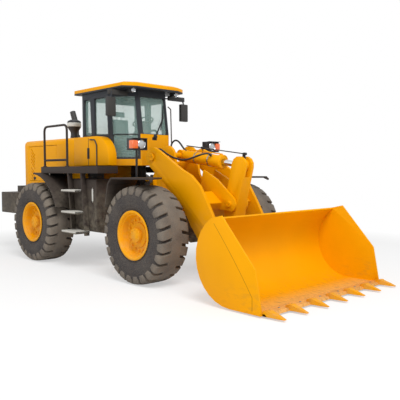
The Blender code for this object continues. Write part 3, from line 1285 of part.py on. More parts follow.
def build_front_frame(machine):
    nose = FRONT_FRAME_NOSE_X
    outline = [
        (JOINT_WALL_X, FRONT_FRAME_BOTTOM), (TOWER_HEEL_X, FRONT_FRAME_BOTTOM),
        (TOWER_KNEE_X, FRONT_SADDLE_BOTTOM), (nose, FRONT_SADDLE_BOTTOM),
        (nose, FRONT_SADDLE_BOTTOM + NOSE_HEIGHT), (TOWER_FRONT_X, TOWER_FRONT_Z),
    ]
    outline += arc(BOOM_PIVOT, BOOM_PIVOT_RADIUS + TOWER_RIM, math.radians(0), math.radians(165), 8)
    outline += [(TOWER_BACK_X, TOWER_BACK_Z), (JOINT_WALL_X, JOINT_WALL_TOP - BEAM_PLATE)]
    solids = []
    for side in (-1, 1):
        solids.append(prism(outline, *sorted((side * TOWER_INNER, side * TOWER_OUTER)), "Y"))
        rows = (
            # place, boss radius, where the boss ends, pin radius, where the pin ends
            (
                BOOM_PIVOT, BOOM_BOSS_RADIUS, ARM_INNER - SIDE_CLEARANCE, BOOM_PIN_RADIUS,
                ARM_OUTER + PIN_REACH,
            ),
            (
                LIFT_BASE, LIFT_EYE_RADIUS, LIFT_Y - LIFT_EYE_HALF - SIDE_CLEARANCE, LIFT_PIN_RADIUS,
                LIFT_Y + LIFT_EYE_HALF + PIN_REACH,
            ),
        )
        for place, boss, boss_end, pin, pin_end in rows:
            start = TOWER_OUTER - OVERLAP
            profile = [
                (0, start), (boss, start), (boss, boss_end), (pin, boss_end), (pin, pin_end), (0, pin_end),
            ]
            solids.append(turned(profile, (place[0], 0, place[1]), (0, side, 0), ROUND_SIDES))
    inner = TOWER_INNER + OVERLAP
    wall = (JOINT_WALL_X - JOINT_WALL_THICKNESS / 2, JOINT_WALL_X + JOINT_WALL_THICKNESS / 2)
    solids.append(box(wall, (-JOINT_WALL_HALF, JOINT_WALL_HALF), (JOINT_WALL_BOTTOM, JOINT_WALL_TOP)))
    saddle = (AXLE_X - SADDLE_HALF_LENGTH - BEAM_PLATE, AXLE_X + SADDLE_HALF_LENGTH + BEAM_PLATE)
    solids.append(box(saddle, (-SADDLE_OUTER, SADDLE_OUTER), (SADDLE_TOP, SADDLE_TOP + BEAM_PLATE)))
    bar = (FRONT_SADDLE_BOTTOM + OVERLAP, FRONT_SADDLE_BOTTOM + NOSE_BAR_HEIGHT)
    solids.append(box((nose - BEAM_PLATE, nose - OVERLAP), (-inner, inner), bar))
    foot = (TOWER_BACK_X, TOWER_BACK_Z - SLOPE_PLATE / 2)
    slope = [
        foot, (foot[0] + SLOPE_PLATE, foot[1] - SLOPE_PLATE / 2),
        (foot[0] + SLOPE_PLATE + SLOPE_RUN, foot[1] - SLOPE_PLATE / 2 + SLOPE_RISE),
        (foot[0] + SLOPE_RUN, foot[1] + SLOPE_PLATE / 2 + SLOPE_RISE),
    ]
    solids.append(prism(slope, -inner, inner, "Y"))
    solids.append(cross_rod(TILT_BASE, TILT_PIN_RADIUS, -inner, inner))
    for z in (UPPER_JOINT_Z, LOWER_JOINT_Z):
        solids.append(joint_plate(1, z - TONGUE_HALF, z + TONGUE_HALF))
    cuts = [joint_cut(UPPER_JOINT_Z), joint_cut(LOWER_JOINT_Z)]
    machine.node("front_frame", "front", PAINT, solids, cuts)


def build_fender_brackets(machine):
    """A beam beside each tower, below the lift cylinder, with a post up to the fender and a pad."""
    along = (CARRIER_BACK, CARRIER_FRONT)
    under = FENDER_TOP - FENDER_THICKNESS - SEAT_GAP
    for word, side in RIGHT_AND_LEFT:
        low, high = CARRIER_BOTTOM, CARRIER_BOTTOM + CARRIER_DEPTH
        solids = [
            box(along, (TOWER_OUTER + SEAT_GAP, CARRIER_POST_OUTER), (low, high)),
            box(along, (CARRIER_POST_INNER, CARRIER_POST_OUTER - SEAT_GAP), (low + OVERLAP, under - OVERLAP)),
            box(
                along, (CARRIER_POST_INNER + SEAT_GAP, CARRIER_PAD_OUTER), (under - CARRIER_DEPTH / 2, under),
            ),
        ]
        machine.node(f"fender_bracket_{word}", "front", PAINT, mirrored(solids, side))


def build_fenders(machine):
    face = [
        (FENDER_BACK + FENDER_FLAP_SLANT, FENDER_FLAP_BOTTOM), (FENDER_BACK, FENDER_TOP - FENDER_BACK_BEND),
        (FENDER_BACK + FENDER_BACK_BEND, FENDER_TOP), (FENDER_FRONT - FENDER_FRONT_RUN, FENDER_TOP),
        (FENDER_FRONT, FENDER_TOP - FENDER_FRONT_DROP),
    ]
    outline = ring_of(face, -FENDER_THICKNESS)
    for word, side in RIGHT_AND_LEFT:
        solids = mirrored([prism(outline, FENDER_INNER, FENDER_OUTER, "Y")], side)
        machine.node(f"fender_{word}", "front", DARK_PAINT, solids)


def build_headlamps(machine):
    for word, side in RIGHT_AND_LEFT:
        solids = [box(
            (LAMP_X - LAMP_DEPTH / 2, LAMP_X + LAMP_DEPTH / 2),
            (LAMP_Y - LAMP_WIDTH / 2, LAMP_Y + LAMP_WIDTH / 2),
            (LAMP_Z - LAMP_HEIGHT / 2, LAMP_Z + LAMP_HEIGHT / 2),
        )]
        solids.append(pipe(
            [(LAMP_X, LAMP_Y, LAMP_Z - LAMP_HEIGHT / 2 + OVERLAP), (LAMP_X, LAMP_Y, FENDER_TOP + SEAT_GAP)],
            RAIL_RADIUS, 0,
        ))
        machine.node(f"headlamp_{word}", "front", BLACK_PLASTIC, mirrored(solids, side))


def boom_points(shares):
    """Points of the side view given along and over the boom's line, in shares of its length."""
    return [boom_point(along * BOOM_LENGTH, rise * BOOM_LENGTH) for along, rise in shares]


def arm_outline():
    top, bottom = (boom_points(shares) for shares in (ARM_TOP_SHARES, ARM_BOTTOM_SHARES))
    rear = arc(BOOM_PIVOT, BOOM_PIVOT_RADIUS, math.radians(238), math.radians(75), 8)
    tip = arc(BUCKET_HINGE, HINGE_RADIUS, math.radians(38), math.radians(-142), 8)
    return [*rear, *top, *tip, *bottom]


def build_boom(machine):
    place = (BOOM_PIVOT_X, 0, BOOM_PIVOT_Z)
    machine.body("boom", place, "front")
    solids = []
    cuts = []
    for side in (-1, 1):
        solids.append(prism(arm_outline(), *sorted((side * ARM_INNER, side * ARM_OUTER)), "Y"))
        boss = sorted((side * (LIFT_Y + LIFT_EYE_HALF + SIDE_CLEARANCE), side * (ARM_INNER + OVERLAP)))
        solids.append(cross_rod(LIFT_EYE, LIFT_EYE_RADIUS, *boss))
        solids.append(prism(
            bracket_outline(), *sorted((side * ROCKER_PLATE_INNER, side * ROCKER_PLATE_OUTER)), "Y",
        ))
        through = sorted((side * (ARM_INNER - OVERRUN), side * (ARM_OUTER + OVERRUN)))
        cuts.append(cross_bore(BOOM_PIVOT, BOOM_PIN_RADIUS, *through))
        cuts.append(cross_bore(BUCKET_HINGE, HINGE_PIN_RADIUS, *through))
    inner = ARM_INNER + OVERLAP
    low, high = -CROSS_HALF_HEIGHT, CROSS_HALF_HEIGHT
    corners = ((CROSS_FROM, low), (CROSS_TO, low), (CROSS_TO, high), (CROSS_FROM, high))
    section = [boom_point(reach, rise, CROSS_ANGLE) for reach, rise in corners]
    solids.append(prism(section, -inner, inner, "Y"))
    reach = ROCKER_PLATE_OUTER + PIN_REACH
    solids.append(cross_rod(ROCKER_PIVOT, ROCKER_PIN_RADIUS, -reach, reach))
    machine.node("boom", "boom", PAINT, solids, cuts)


def bracket_outline():
    """The pair of plates on the boom's cross beam that carry the rocker."""
    nose = arc(ROCKER_PIVOT, ROCKER_WAIST_RADIUS, math.radians(-60), math.radians(60), 6)
    reaches = (CROSS_FROM + BRACKET_FOOT_BACK, CROSS_TO - BRACKET_FOOT_FRONT)
    return nose + boom_points(BRACKET_SHARES) + [boom_point(reach, 0, CROSS_ANGLE) for reach in reaches]


def build_rocker(machine):
    machine.body("rocker", (ROCKER_X, 0, ROCKER_Z), "boom")
    upper = capsule(ROCKER_PIVOT, ROCKER_WAIST_RADIUS, ROCKER_HEAD, ROCKER_HEAD_RADIUS)
    lower = capsule(ROCKER_PIVOT, ROCKER_WAIST_RADIUS, ROCKER_TAIL, ROCKER_TAIL_RADIUS)
    half = ROCKER_HALF - SEAT_GAP
    solids = [prism(upper, -ROCKER_HALF, ROCKER_HALF, "Y"), prism(lower, -half, half, "Y")]
    slot = ROCKER_SLOT_HALF
    above = (ROCKER_HEAD_X, ROCKER_HEAD_Z + ROCKER_SLOT_REACH)
    below = (ROCKER_TAIL_X, ROCKER_TAIL_Z - ROCKER_SLOT_REACH)
    head_cut = capsule(ROCKER_HEAD, ROCKER_HEAD_SLOT, above, ROCKER_HEAD_SLOT)
    tail_cut = capsule(ROCKER_TAIL, ROCKER_TAIL_SLOT, below, ROCKER_TAIL_SLOT)
    cuts = [prism(head_cut, -slot, slot, "Y"), prism(tail_cut, -slot, slot, "Y")]
    cuts.append(cross_bore(ROCKER_PIVOT, ROCKER_PIN_RADIUS, -ROCKER_HALF - OVERRUN, ROCKER_HALF + OVERRUN))
    solids.append(cross_rod(ROCKER_TAIL, LINK_PIN_RADIUS, -ROCKER_HALF - PIN_CAP, ROCKER_HALF + PIN_CAP))
    machine.node("rocker", "rocker", PAINT, solids, cuts)


def build_link(machine):
    machine.body("tilt_link", (LINK_END_X, 0, LINK_END_Z), "bucket")
    bar = prism(capsule(ROCKER_TAIL, LINK_RADIUS, LINK_END, LINK_FRONT_RADIUS), -LINK_HALF, LINK_HALF, "Y")
    hole = cross_bore(LINK_END, LINK_PIN_RADIUS, -LINK_HALF - OVERRUN, LINK_HALF + OVERRUN)
    machine.node("tilt_link", "tilt_link", PAINT, [bar], [hole])


def cylinder_barrel(base, tip, y, radius, rod_radius, eye_half, length, pin_radius):
    """A hydraulic cylinder's tube with its base eye, its gland and the bore that the rod slides in."""
    start, end = Vector((base[0], y, base[1])), Vector((tip[0], y, tip[1]))
    along = (end - start).normalized()
    neck = start + along * radius * BARREL_NECK_SHARE
    outline = capsule(base, radius, (neck.x, neck.z), radius * BARREL_NECK_RADIUS_SHARE)
    eye = prism(outline, y - eye_half, y + eye_half, "Y")
    tube = rod(start + along * radius * BARREL_TUBE_SHARE, start + along * length, radius)
    ring = (start + along * (length - GLAND_LENGTH), start + along * (length + OVERLAP))
    gland = rod(*ring, radius + GLAND_EXTRA)
    inside = bore(start + along * radius * BARREL_BORE_SHARE, start + along * (length + OVERRUN), rod_radius)
    hole = cross_bore(base, pin_radius, y - eye_half - OVERRUN, y + eye_half + OVERRUN)
    return [tube, eye, gland], [inside, hole]


def cylinder_rod(base, tip, y, rod_start, rod_radius, eye_radius, eye_half):
    start, end = Vector((base[0], y, base[1])), Vector((tip[0], y, tip[1]))
    along = (end - start).normalized()
    eye = cross_rod(tip, eye_radius, y - eye_half, y + eye_half)
    bar = rod(start + along * rod_start, end - along * eye_radius * ROD_EYE_SHARE, rod_radius)
    return [bar, eye]


def build_cylinders(machine):
    machine.body("tilt_barrel", (TILT_BASE_X, 0, TILT_BASE_Z), "front")
    solids, cuts = cylinder_barrel(
        TILT_BASE, ROCKER_HEAD, 0, TILT_BARREL_RADIUS, TILT_ROD_RADIUS, TILT_EYE_HALF, TILT_BARREL_END,
        TILT_PIN_RADIUS,
    )
    machine.node("tilt_barrel", "tilt_barrel", PAINT, solids, cuts)
    machine.body("tilt_rod", (ROCKER_HEAD_X, 0, ROCKER_HEAD_Z), "tilt_barrel")
    machine.node("tilt_rod", "tilt_rod", CHROME, cylinder_rod(
        TILT_BASE, ROCKER_HEAD, 0, TILT_ROD_START, TILT_ROD_RADIUS, TILT_EYE_RADIUS, TILT_EYE_HALF,
    ))
    machine.body("lift_barrels", (LIFT_BASE[0], 0, LIFT_BASE[1]), "front")
    machine.body("lift_rods", (LIFT_EYE[0], 0, LIFT_EYE[1]), "lift_barrels")
    for word, side in RIGHT_AND_LEFT:
        y = side * LIFT_Y
        solids, cuts = cylinder_barrel(
            LIFT_BASE, LIFT_EYE, y, LIFT_BARREL_RADIUS, LIFT_ROD_RADIUS, LIFT_EYE_HALF, LIFT_BARREL_END,
            LIFT_PIN_RADIUS,
        )
        machine.node(f"lift_barrel_{word}", "lift_barrels", PAINT, solids, cuts)
        machine.node(f"lift_rod_{word}", "lift_rods", CHROME, cylinder_rod(
            LIFT_BASE, LIFT_EYE, y, LIFT_ROD_START, LIFT_ROD_RADIUS, LIFT_EYE_RADIUS, LIFT_EYE_HALF,
        ))


def bucket_shell_outline():
    centre = (BUCKET_ARC_X, BUCKET_ARC_Z)
    outer = arc(centre, BUCKET_ARC_RADIUS, BUCKET_LIP_ANGLE, math.radians(270), BUCKET_STEPS)
    outer += [(BUCKET_FLOOR_FRONT, BUCKET_ARC_Z - BUCKET_ARC_RADIUS)]
    inner = arc(centre, BUCKET_ARC_RADIUS - BUCKET_PLATE, BUCKET_LIP_ANGLE, math.radians(270), BUCKET_STEPS)
    inner += [(BUCKET_FLOOR_FRONT, BUCKET_ARC_Z - BUCKET_ARC_RADIUS + BUCKET_PLATE)]
    return outer + inner[::-1]


def bucket_side_outline():
    centre = (BUCKET_ARC_X, BUCKET_ARC_Z)
    back = arc(centre, BUCKET_ARC_RADIUS, BUCKET_LIP_ANGLE, math.radians(270), BUCKET_STEPS)
    floor = BUCKET_ARC_Z - BUCKET_ARC_RADIUS
    return back + [
        (BUCKET_SIDE_TIP_X, floor), (BUCKET_SIDE_TIP_X, floor + TOOTH_HEIGHT / 2),
        (BUCKET_SIDE_MID_X, BUCKET_SIDE_MID_Z), (BUCKET_SIDE_TOP_X, BUCKET_SIDE_TOP_Z),
    ]


def bucket_ear_outline(pin, radius):
    """An ear from the pin to the curved back of the bucket."""
    centre = Vector((BUCKET_ARC_X, BUCKET_ARC_Z))
    away = Vector(pin) - centre
    middle = math.atan2(away.y, away.x)
    spread = math.radians(17)
    deep = BUCKET_ARC_RADIUS - BUCKET_PLATE / 2
    root = arc(tuple(centre), deep, middle - spread, middle + spread, 4)
    nose = arc(pin, radius, middle + math.radians(80), middle - math.radians(80), 8)
    return root + nose


def build_bucket(machine):
    machine.body("bucket", (BUCKET_HINGE[0], 0, BUCKET_HINGE[1]), "boom")
    inside = BUCKET_HALF - BUCKET_SIDE_PLATE / 2
    solids = [prism(bucket_shell_outline(), -inside, inside, "Y")]
    for side in (-1, 1):
        plate = sorted((side * (BUCKET_HALF - BUCKET_SIDE_PLATE), side * BUCKET_HALF))
        solids.append(prism(bucket_side_outline(), *plate, "Y"))
        ear = bucket_ear_outline(BUCKET_HINGE, BUCKET_EAR_RADIUS)
        near = side * (ARM_INNER - MOVING_GAP)
        solids.append(prism(ear, *sorted((near, near - side * BUCKET_EAR)), "Y"))
        ear = bucket_ear_outline(BUCKET_HINGE, BUCKET_EAR_RADIUS)
        far = side * (ARM_OUTER + MOVING_GAP)
        solids.append(prism(ear, *sorted((far, far + side * BUCKET_EAR)), "Y"))
        pin = sorted((near - side * BUCKET_EAR, far + side * BUCKET_EAR))
        solids.append(cross_rod(BUCKET_HINGE, HINGE_PIN_RADIUS, pin[0] + OVERLAP, pin[1] - OVERLAP))
        link_ear = bucket_ear_outline(LINK_END, LINK_RADIUS)
        inner = side * (LINK_HALF + MOVING_GAP)
        solids.append(prism(link_ear, *sorted((inner, inner + side * BUCKET_EAR)), "Y"))
    reach = LINK_HALF + MOVING_GAP + BUCKET_EAR + PIN_CAP
    solids.append(cross_rod(LINK_END, LINK_PIN_RADIUS, -reach, reach))
    machine.node("bucket_shell", "bucket", PAINT, solids)
    floor = BUCKET_ARC_Z - BUCKET_ARC_RADIUS
    low = floor - SEAT_GAP
    edge = [
        (BUCKET_FLOOR_FRONT + SEAT_GAP, floor), (EDGE_FRONT, floor),
        (EDGE_FRONT - EDGE_THICKNESS, floor + EDGE_THICKNESS),
        (BUCKET_FLOOR_FRONT + SEAT_GAP, floor + EDGE_THICKNESS),
    ]
    width = BUCKET_HALF - BUCKET_SIDE_PLATE - SEAT_GAP
    solids = [prism(edge, -width, width, "Y")]
    for k in range(TOOTH_COUNT):
        reach = width - TOOTH_HALF
        y = -reach + 2 * reach * k / (TOOTH_COUNT - 1)
        shank = [
            (BUCKET_SIDE_TIP_X, low + OVERLAP), (TOOTH_TIP, low + OVERLAP),
            (TOOTH_TIP, low + TOOTH_TIP_HEIGHT), (EDGE_FRONT, low + TOOTH_HEIGHT),
            (BUCKET_SIDE_TIP_X, low + TOOTH_HEIGHT * TOOTH_HEEL_SHARE),
        ]
        solids.append(prism(shank, y - TOOTH_HALF, y + TOOTH_HALF, "Y"))
    machine.node("bucket_edge", "bucket", WORN_STEEL, solids)


def place_origin(machine):
    """Moves the whole machine so that its bounding box stands centred on the origin."""
    bpy.context.view_layer.update()
    graph = bpy.context.evaluated_depsgraph_get()
    points = []
    for obj in bpy.context.scene.collection.objects:
        if obj.type == "MESH":
            shown = obj.evaluated_get(graph)
            points += [shown.matrix_world @ Vector(corner) for corner in shown.bound_box]
    low = [min(p[axis] for p in points) for axis in range(3)]
    high = [max(p[axis] for p in points) for axis in range(3)]
    machine.bodies["root"].location = (-(low[0] + high[0]) / 2, -(low[1] + high[1]) / 2, -low[2])


def main():
    for obj in list(bpy.data.objects):
        bpy.data.objects.remove(obj, do_unlink=True)
    machine = Machine()
    machine.body("root", (0, 0, 0))
    machine.body("front", (0, 0, UPPER_JOINT_Z), "root")
    build_rear_frame(machine)
    build_counterweight(machine)
    build_engine(machine)
    build_axle(machine, "rear_axle", "root", -AXLE_X)
    build_hood(machine)
    build_grille(machine)
    build_hood_doors(machine)
    build_side_cover(machine)
    build_tanks(machine)
    build_access(machine)
    build_exhaust(machine)
    build_cab(machine)
    build_cab_door(machine)
    build_roof(machine)
    build_cab_inside(machine)
    build_front_frame(machine)
    build_axle(machine, "front_axle", "front", AXLE_X)
    build_fender_brackets(machine)
    build_fenders(machine)
    build_headlamps(machine)
    build_wheels(machine)
    build_boom(machine)
    build_rocker(machine)
    build_bucket(machine)
    build_link(machine)
    build_cylinders(machine)
    place_origin(machine)


main()
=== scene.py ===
"""The looks of a wheel loader: tyres with tread, wheel discs, cab trim, lamps, hoses and finishes.

Every piece is drawn at its real place, in metres, +X towards the bucket, +Y left and +Z up.
Heights and places written as machine measures count from the articulation pin, on the ground.
"""
import json
import math

import bmesh
import bpy
from mathutils import Matrix, Vector

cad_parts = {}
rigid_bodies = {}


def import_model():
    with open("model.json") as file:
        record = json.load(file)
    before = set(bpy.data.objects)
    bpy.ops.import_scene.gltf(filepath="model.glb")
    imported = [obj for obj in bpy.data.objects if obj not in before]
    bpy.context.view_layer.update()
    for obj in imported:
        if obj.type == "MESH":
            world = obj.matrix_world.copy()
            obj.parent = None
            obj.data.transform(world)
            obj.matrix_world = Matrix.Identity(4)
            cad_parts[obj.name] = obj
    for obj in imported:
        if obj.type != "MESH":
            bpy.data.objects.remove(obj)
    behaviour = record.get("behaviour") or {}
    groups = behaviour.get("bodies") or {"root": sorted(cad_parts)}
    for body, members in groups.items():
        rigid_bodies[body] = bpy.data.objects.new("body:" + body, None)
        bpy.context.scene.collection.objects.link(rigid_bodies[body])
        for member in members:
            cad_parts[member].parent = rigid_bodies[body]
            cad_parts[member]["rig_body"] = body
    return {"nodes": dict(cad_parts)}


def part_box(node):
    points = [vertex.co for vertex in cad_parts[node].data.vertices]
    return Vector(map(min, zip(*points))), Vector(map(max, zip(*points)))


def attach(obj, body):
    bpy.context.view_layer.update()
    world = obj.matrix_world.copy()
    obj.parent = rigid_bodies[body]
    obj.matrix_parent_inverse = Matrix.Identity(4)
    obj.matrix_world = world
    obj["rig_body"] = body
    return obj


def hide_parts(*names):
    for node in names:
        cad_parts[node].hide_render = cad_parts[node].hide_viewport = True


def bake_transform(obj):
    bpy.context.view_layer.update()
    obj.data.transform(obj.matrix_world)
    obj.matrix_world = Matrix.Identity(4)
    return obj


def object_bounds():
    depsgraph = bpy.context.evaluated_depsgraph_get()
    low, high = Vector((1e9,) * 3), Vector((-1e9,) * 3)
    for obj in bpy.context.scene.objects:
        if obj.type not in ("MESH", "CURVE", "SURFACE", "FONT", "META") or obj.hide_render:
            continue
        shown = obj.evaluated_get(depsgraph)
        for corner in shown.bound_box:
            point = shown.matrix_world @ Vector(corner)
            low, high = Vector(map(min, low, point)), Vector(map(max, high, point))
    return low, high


bl_info = {
    "name": "Wheel Loader Looks",
    "version": (1, 0, 0),
    "blender": (4, 5, 0),
    "location": "View3D > Sidebar > Loader",
    "description": "Dresses a wheel loader with its tyres, trim, lamps, hoses and finishes",
    "category": "Object",
}

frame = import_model()
CAD_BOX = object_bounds()
TYRE_LOW, TYRE_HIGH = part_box("tyre_front_left")
WHEELBASE = 3.40
PIVOT_X = (TYRE_LOW.x + TYRE_HIGH.x) / 2 - WHEELBASE / 2
GROUND_Z = CAD_BOX[0].z
LEFT_AND_RIGHT = (("left", 1), ("right", -1))
WHEELS = tuple(f"{end}_{side}" for end in ("front", "rear") for side in ("left", "right"))
BOLT_SIDES = 6
SMOOTH_ANGLE = math.radians(38)
MERGE_DISTANCE = 0.0002
ACROSS = (0.0, 1.0, 0.0)
UP = (0.0, 0.0, 1.0)
FORWARD = (1.0, 0.0, 0.0)
WHITE = (1.0, 1.0, 1.0, 1.0)
BLACK = (0.0, 0.0, 0.0, 1.0)


def at(x, y, z):
    """A machine measure as a point of the scene."""
    return Vector((x + PIVOT_X, y, z + GROUND_Z))


def linear(hex_colour):
    """A colour written as six hex digits, as linear red, green, blue and a full alpha."""
    shares = [int(hex_colour[i:i + 2], 16) / 255 for i in (0, 2, 4)]
    return tuple(s / 12.92 if s <= 0.04045 else ((s + 0.055) / 1.055) ** 2.4 for s in shares) + (1.0,)


def shade(colour, share):
    """A colour made darker or lighter by a share, with a full alpha."""
    return tuple(c * share for c in colour[:3]) + (1.0,)


# Shader maths


def plug(tree, value, socket):
    """Links a signal to a socket, or sets the socket to a plain value."""
    if isinstance(value, Signal):
        tree.links.new(value.socket, socket)
    else:
        socket.default_value = value


class Signal:
    """One output socket of a node tree. Python's operators on it add Math nodes."""

    def __init__(self, tree, socket):
        self.tree = tree
        self.socket = socket

    def maths(self, operation, *others, clamp=False):
        """Adds a Math node and fills its sockets."""
        node = self.tree.nodes.new("ShaderNodeMath")
        node.operation = operation
        node.use_clamp = clamp
        for socket, value in zip(node.inputs, others):
            plug(self.tree, value, socket)
        return Signal(self.tree, node.outputs[0])

    def __add__(self, other):
        return self.maths("ADD", self, other)

    def __radd__(self, other):
        return self.maths("ADD", other, self)

    def __sub__(self, other):
        return self.maths("SUBTRACT", self, other)

    def __rsub__(self, other):
        return self.maths("SUBTRACT", other, self)

    def __mul__(self, other):
        return self.maths("MULTIPLY", self, other)

    def __rmul__(self, other):
        return self.maths("MULTIPLY", other, self)

    def __truediv__(self, other):
        return self.maths("DIVIDE", self, other)

    def __rtruediv__(self, other):
        return self.maths("DIVIDE", other, self)

    def above(self, edge, softness):
        """0 below the edge and 1 above it, with a ramp as wide as the softness."""
        return self.maths("ADD", (self - edge) / softness, 0.5, clamp=True)

    def absolute(self):
        """The signal without its sign."""
        return self.maths("ABSOLUTE", self)

    def sine(self):
        """The sine of the signal, taken as an angle in radians."""
        return self.maths("SINE", self)


class Nodes:
    """A shader tree in the making. All nodes but Math nodes come from its node method."""

    def __init__(self, tree):
        self.tree = tree

    def node(self, kind, settings=None, values=None, output=0):
        """Adds a node, makes its settings, fills its sockets and gives one of its outputs."""
        node = self.tree.nodes.new(kind)
        for name, setting in (settings or {}).items():
            setattr(node, name, setting)
        for name, value in (values or {}).items():
            plug(self.tree, value, node.inputs[name])
        return Signal(self.tree, node.outputs[output]) if node.outputs else None


class Finish(Nodes):
    """A material in the making."""

    def __init__(self, name):
        self.material = bpy.data.materials.new(name)
        self.material.use_nodes = True
        super().__init__(self.material.node_tree)
        self.shader = self.tree.nodes["Principled BSDF"]
        self.output = self.tree.nodes["Material Output"]

    def place(self):
        """The point on the surface, in metres, and its three parts."""
        point = self.node("ShaderNodeTexCoord", output="Object")
        split = self.node("ShaderNodeSeparateXYZ", values={"Vector": point})
        outputs = split.socket.node.outputs
        return point, *(Signal(self.tree, outputs[i]) for i in range(3))

    def noise(self, point, scale, detail=3.0, roughness=0.5):
        """Cloudy noise at a point, from 0 to 1."""
        values = {"Vector": point, "Scale": scale, "Detail": detail, "Roughness": roughness}
        return self.node("ShaderNodeTexNoise", values=values)

    def stretched(self, point, scale):
        """The point with its three parts stretched, for a pattern of streaks."""
        return self.node("ShaderNodeMapping", values={"Vector": point, "Scale": scale})

    def blend(self, share, first, second):
        """Two colours mixed by a share."""
        return self.node("ShaderNodeMix", {"data_type": "RGBA"}, {0: share, 6: first, 7: second}, output=2)

    def bump(self, height, strength, distance):
        """A normal that a height pattern bends."""
        values = {"Height": height, "Strength": strength, "Distance": distance}
        return self.node("ShaderNodeBump", values=values)

    def set(self, **values):
        """Fills the Principled shader's sockets, named in lower case, and gives the material."""
        sockets = {s.name.lower().replace(" ", "_"): s for s in self.shader.inputs}
        for name, value in values.items():
            plug(self.tree, value, sockets[name])
        return self.material


# Materials

DUST = linear("A39A86")
PAINT_GLOSS = {"specular_ior_level": 0.08, "coat_weight": 0.01}
MASK_EDGE = 0.004


def painted(name, colour, dust_top, gloss=0.42, dust_share=0.25, patch=None, patch_colour=None):
    """Machine paint: slight cloudiness, dust that thickens near the ground, fine peel."""
    finish = Finish(name)
    point, x, y, z = finish.place()
    cloud = finish.noise(point, 1.3, 4.0)
    fine = finish.noise(point, 9.0, 6.0, 0.65)
    if patch:
        colour = finish.blend(patch(x, y, z), colour, patch_colour)
    base = finish.blend(0.14 - cloud.above(0.5, 0.5) * 0.14, colour, BLACK)
    low = 1 - z.above(dust_top, dust_top * 0.9)
    dusty = low * fine.above(0.52, 0.35) * dust_share
    return finish.set(
        base_color=finish.blend(dusty, base, DUST),
        roughness=gloss + dusty * 0.5 + (fine - 0.5) * 0.12,
        normal=finish.bump(finish.noise(point, 260.0, 2.0), 0.06, 0.002),
        coat_roughness=0.2, **PAINT_GLOSS,
    )


def cab_patch(x, y, z):
    """1 on the cab's lower front and below its corner panes, which are yellow, and 0 elsewhere."""
    front = x.above(at(0.60, 0, 0).x, MASK_EDGE) * (1 - y.absolute().above(0.37, MASK_EDGE))
    front = front * (1 - z.above(at(0, 0, 2.53).z, MASK_EDGE))
    corner = x.above(at(0.105, 0, 0).x, MASK_EDGE) * (1 - z.above(at(0, 0, 2.065).z, MASK_EDGE))
    return front.maths("MAXIMUM", front, corner)


def roof_patch(_x, _y, z):
    """1 below a height under the roof's yellow edge, which takes the cab's dark paint, and 0 above."""
    return 1 - z.above(at(0, 0, 3.392).z, MASK_EDGE)


def frame_patch(_x, _y, z):
    """1 on the upper part of the rear frame, which is dark."""
    return z.above(at(0, 0, 0.90).z, MASK_EDGE)


def bucket_seam(x, y, z):
    """1 along the welded seam of the bucket's side plates."""
    height = z - at(0, 0, 0.27).z
    line = 4.30 + PIVOT_X - 0.711 * height - 0.1024 * height * (height - 0.432)
    line = line.maths("MINIMUM", line, 4.321 + PIVOT_X)
    near = 1 - (x - line).absolute().above(0.006, MASK_EDGE)
    reach = z.above(at(0, 0, 0.07).z, 0.01) * (1 - z.above(at(0, 0, 1.14).z, 0.01))
    return near * reach * y.absolute().above(1.470, MASK_EDGE)


def bucket_paint(name, colour, wear_x, wear_z):
    """Yellow paint, dusty on the floor and scuffed bare near the cutting edge."""
    finish = Finish(name)
    point, x, y, z = finish.place()
    cloud = finish.noise(point, 1.1, 4.0)
    streak = finish.noise(finish.stretched(point, (3.0, 14.0, 9.0)), 2.2, 7.0, 0.7)
    near_edge = x.above(wear_x, 0.7) * (1 - z.above(wear_z, 0.22))
    inside = 1 - y.absolute().above(1.435, 0.01)
    scuff = near_edge * streak.above(0.55, 0.12) * (0.25 + inside * 0.5)
    dust = x.above(wear_x + 0.25, 0.5) * (1 - z.above(wear_z * 0.6, 0.2)) * inside
    bare = near_edge * inside * streak.above(0.66, 0.06)
    seam = bucket_seam(x, y, z)
    base = finish.blend(cloud.above(0.5, 0.5), shade(colour, 0.88), colour)
    for share, over in (
        (dust * 0.6, "DDAA74"), (scuff * 0.75, "8C6A3F"), (bare * 0.8, "C9BFA8"), (seam * 0.55, "5A3C08"),
    ):
        base = finish.blend(share, base, linear(over))
    return finish.set(
        base_color=base,
        roughness=0.42 + scuff * 0.35,
        metallic=bare * 0.5,
        normal=finish.bump(streak - seam * 2.0, 0.12, 0.002),
        coat_roughness=0.25, **PAINT_GLOSS,
    )


def rubber(name, colour, dust_share):
    """Tyre rubber, greyed by dust in broad patches and in the grain."""
    finish = Finish(name)
    point, *_ = finish.place()
    broad = finish.noise(point, 3.0, 5.0)
    grain = finish.noise(point, 90.0, 4.0, 0.7)
    base = finish.blend(broad.above(0.5, 0.45) * dust_share, colour, linear("8A7F70"))
    return finish.set(
        base_color=finish.blend(grain.above(0.56, 0.2) * 0.25, base, linear("A2988A")),
        roughness=0.82 + (grain - 0.5) * 0.2,
        normal=finish.bump(grain, 0.25, 0.004), specular_ior_level=0.3,
    )


def plastic(name, colour, roughness=0.55, grain=420.0):
    """Dull plastic, rubber or black paint with a fine grain."""
    finish = Finish(name)
    point, *_ = finish.place()
    speck = finish.noise(point, grain, 2.0)
    cloud = finish.noise(point, 4.0, 3.0)
    return finish.set(
        base_color=finish.blend(cloud.above(0.5, 0.6) * 0.3, colour, shade(colour, 1.35)),
        roughness=roughness + (cloud - 0.5) * 0.15, normal=finish.bump(speck, 0.12, 0.001),
    )


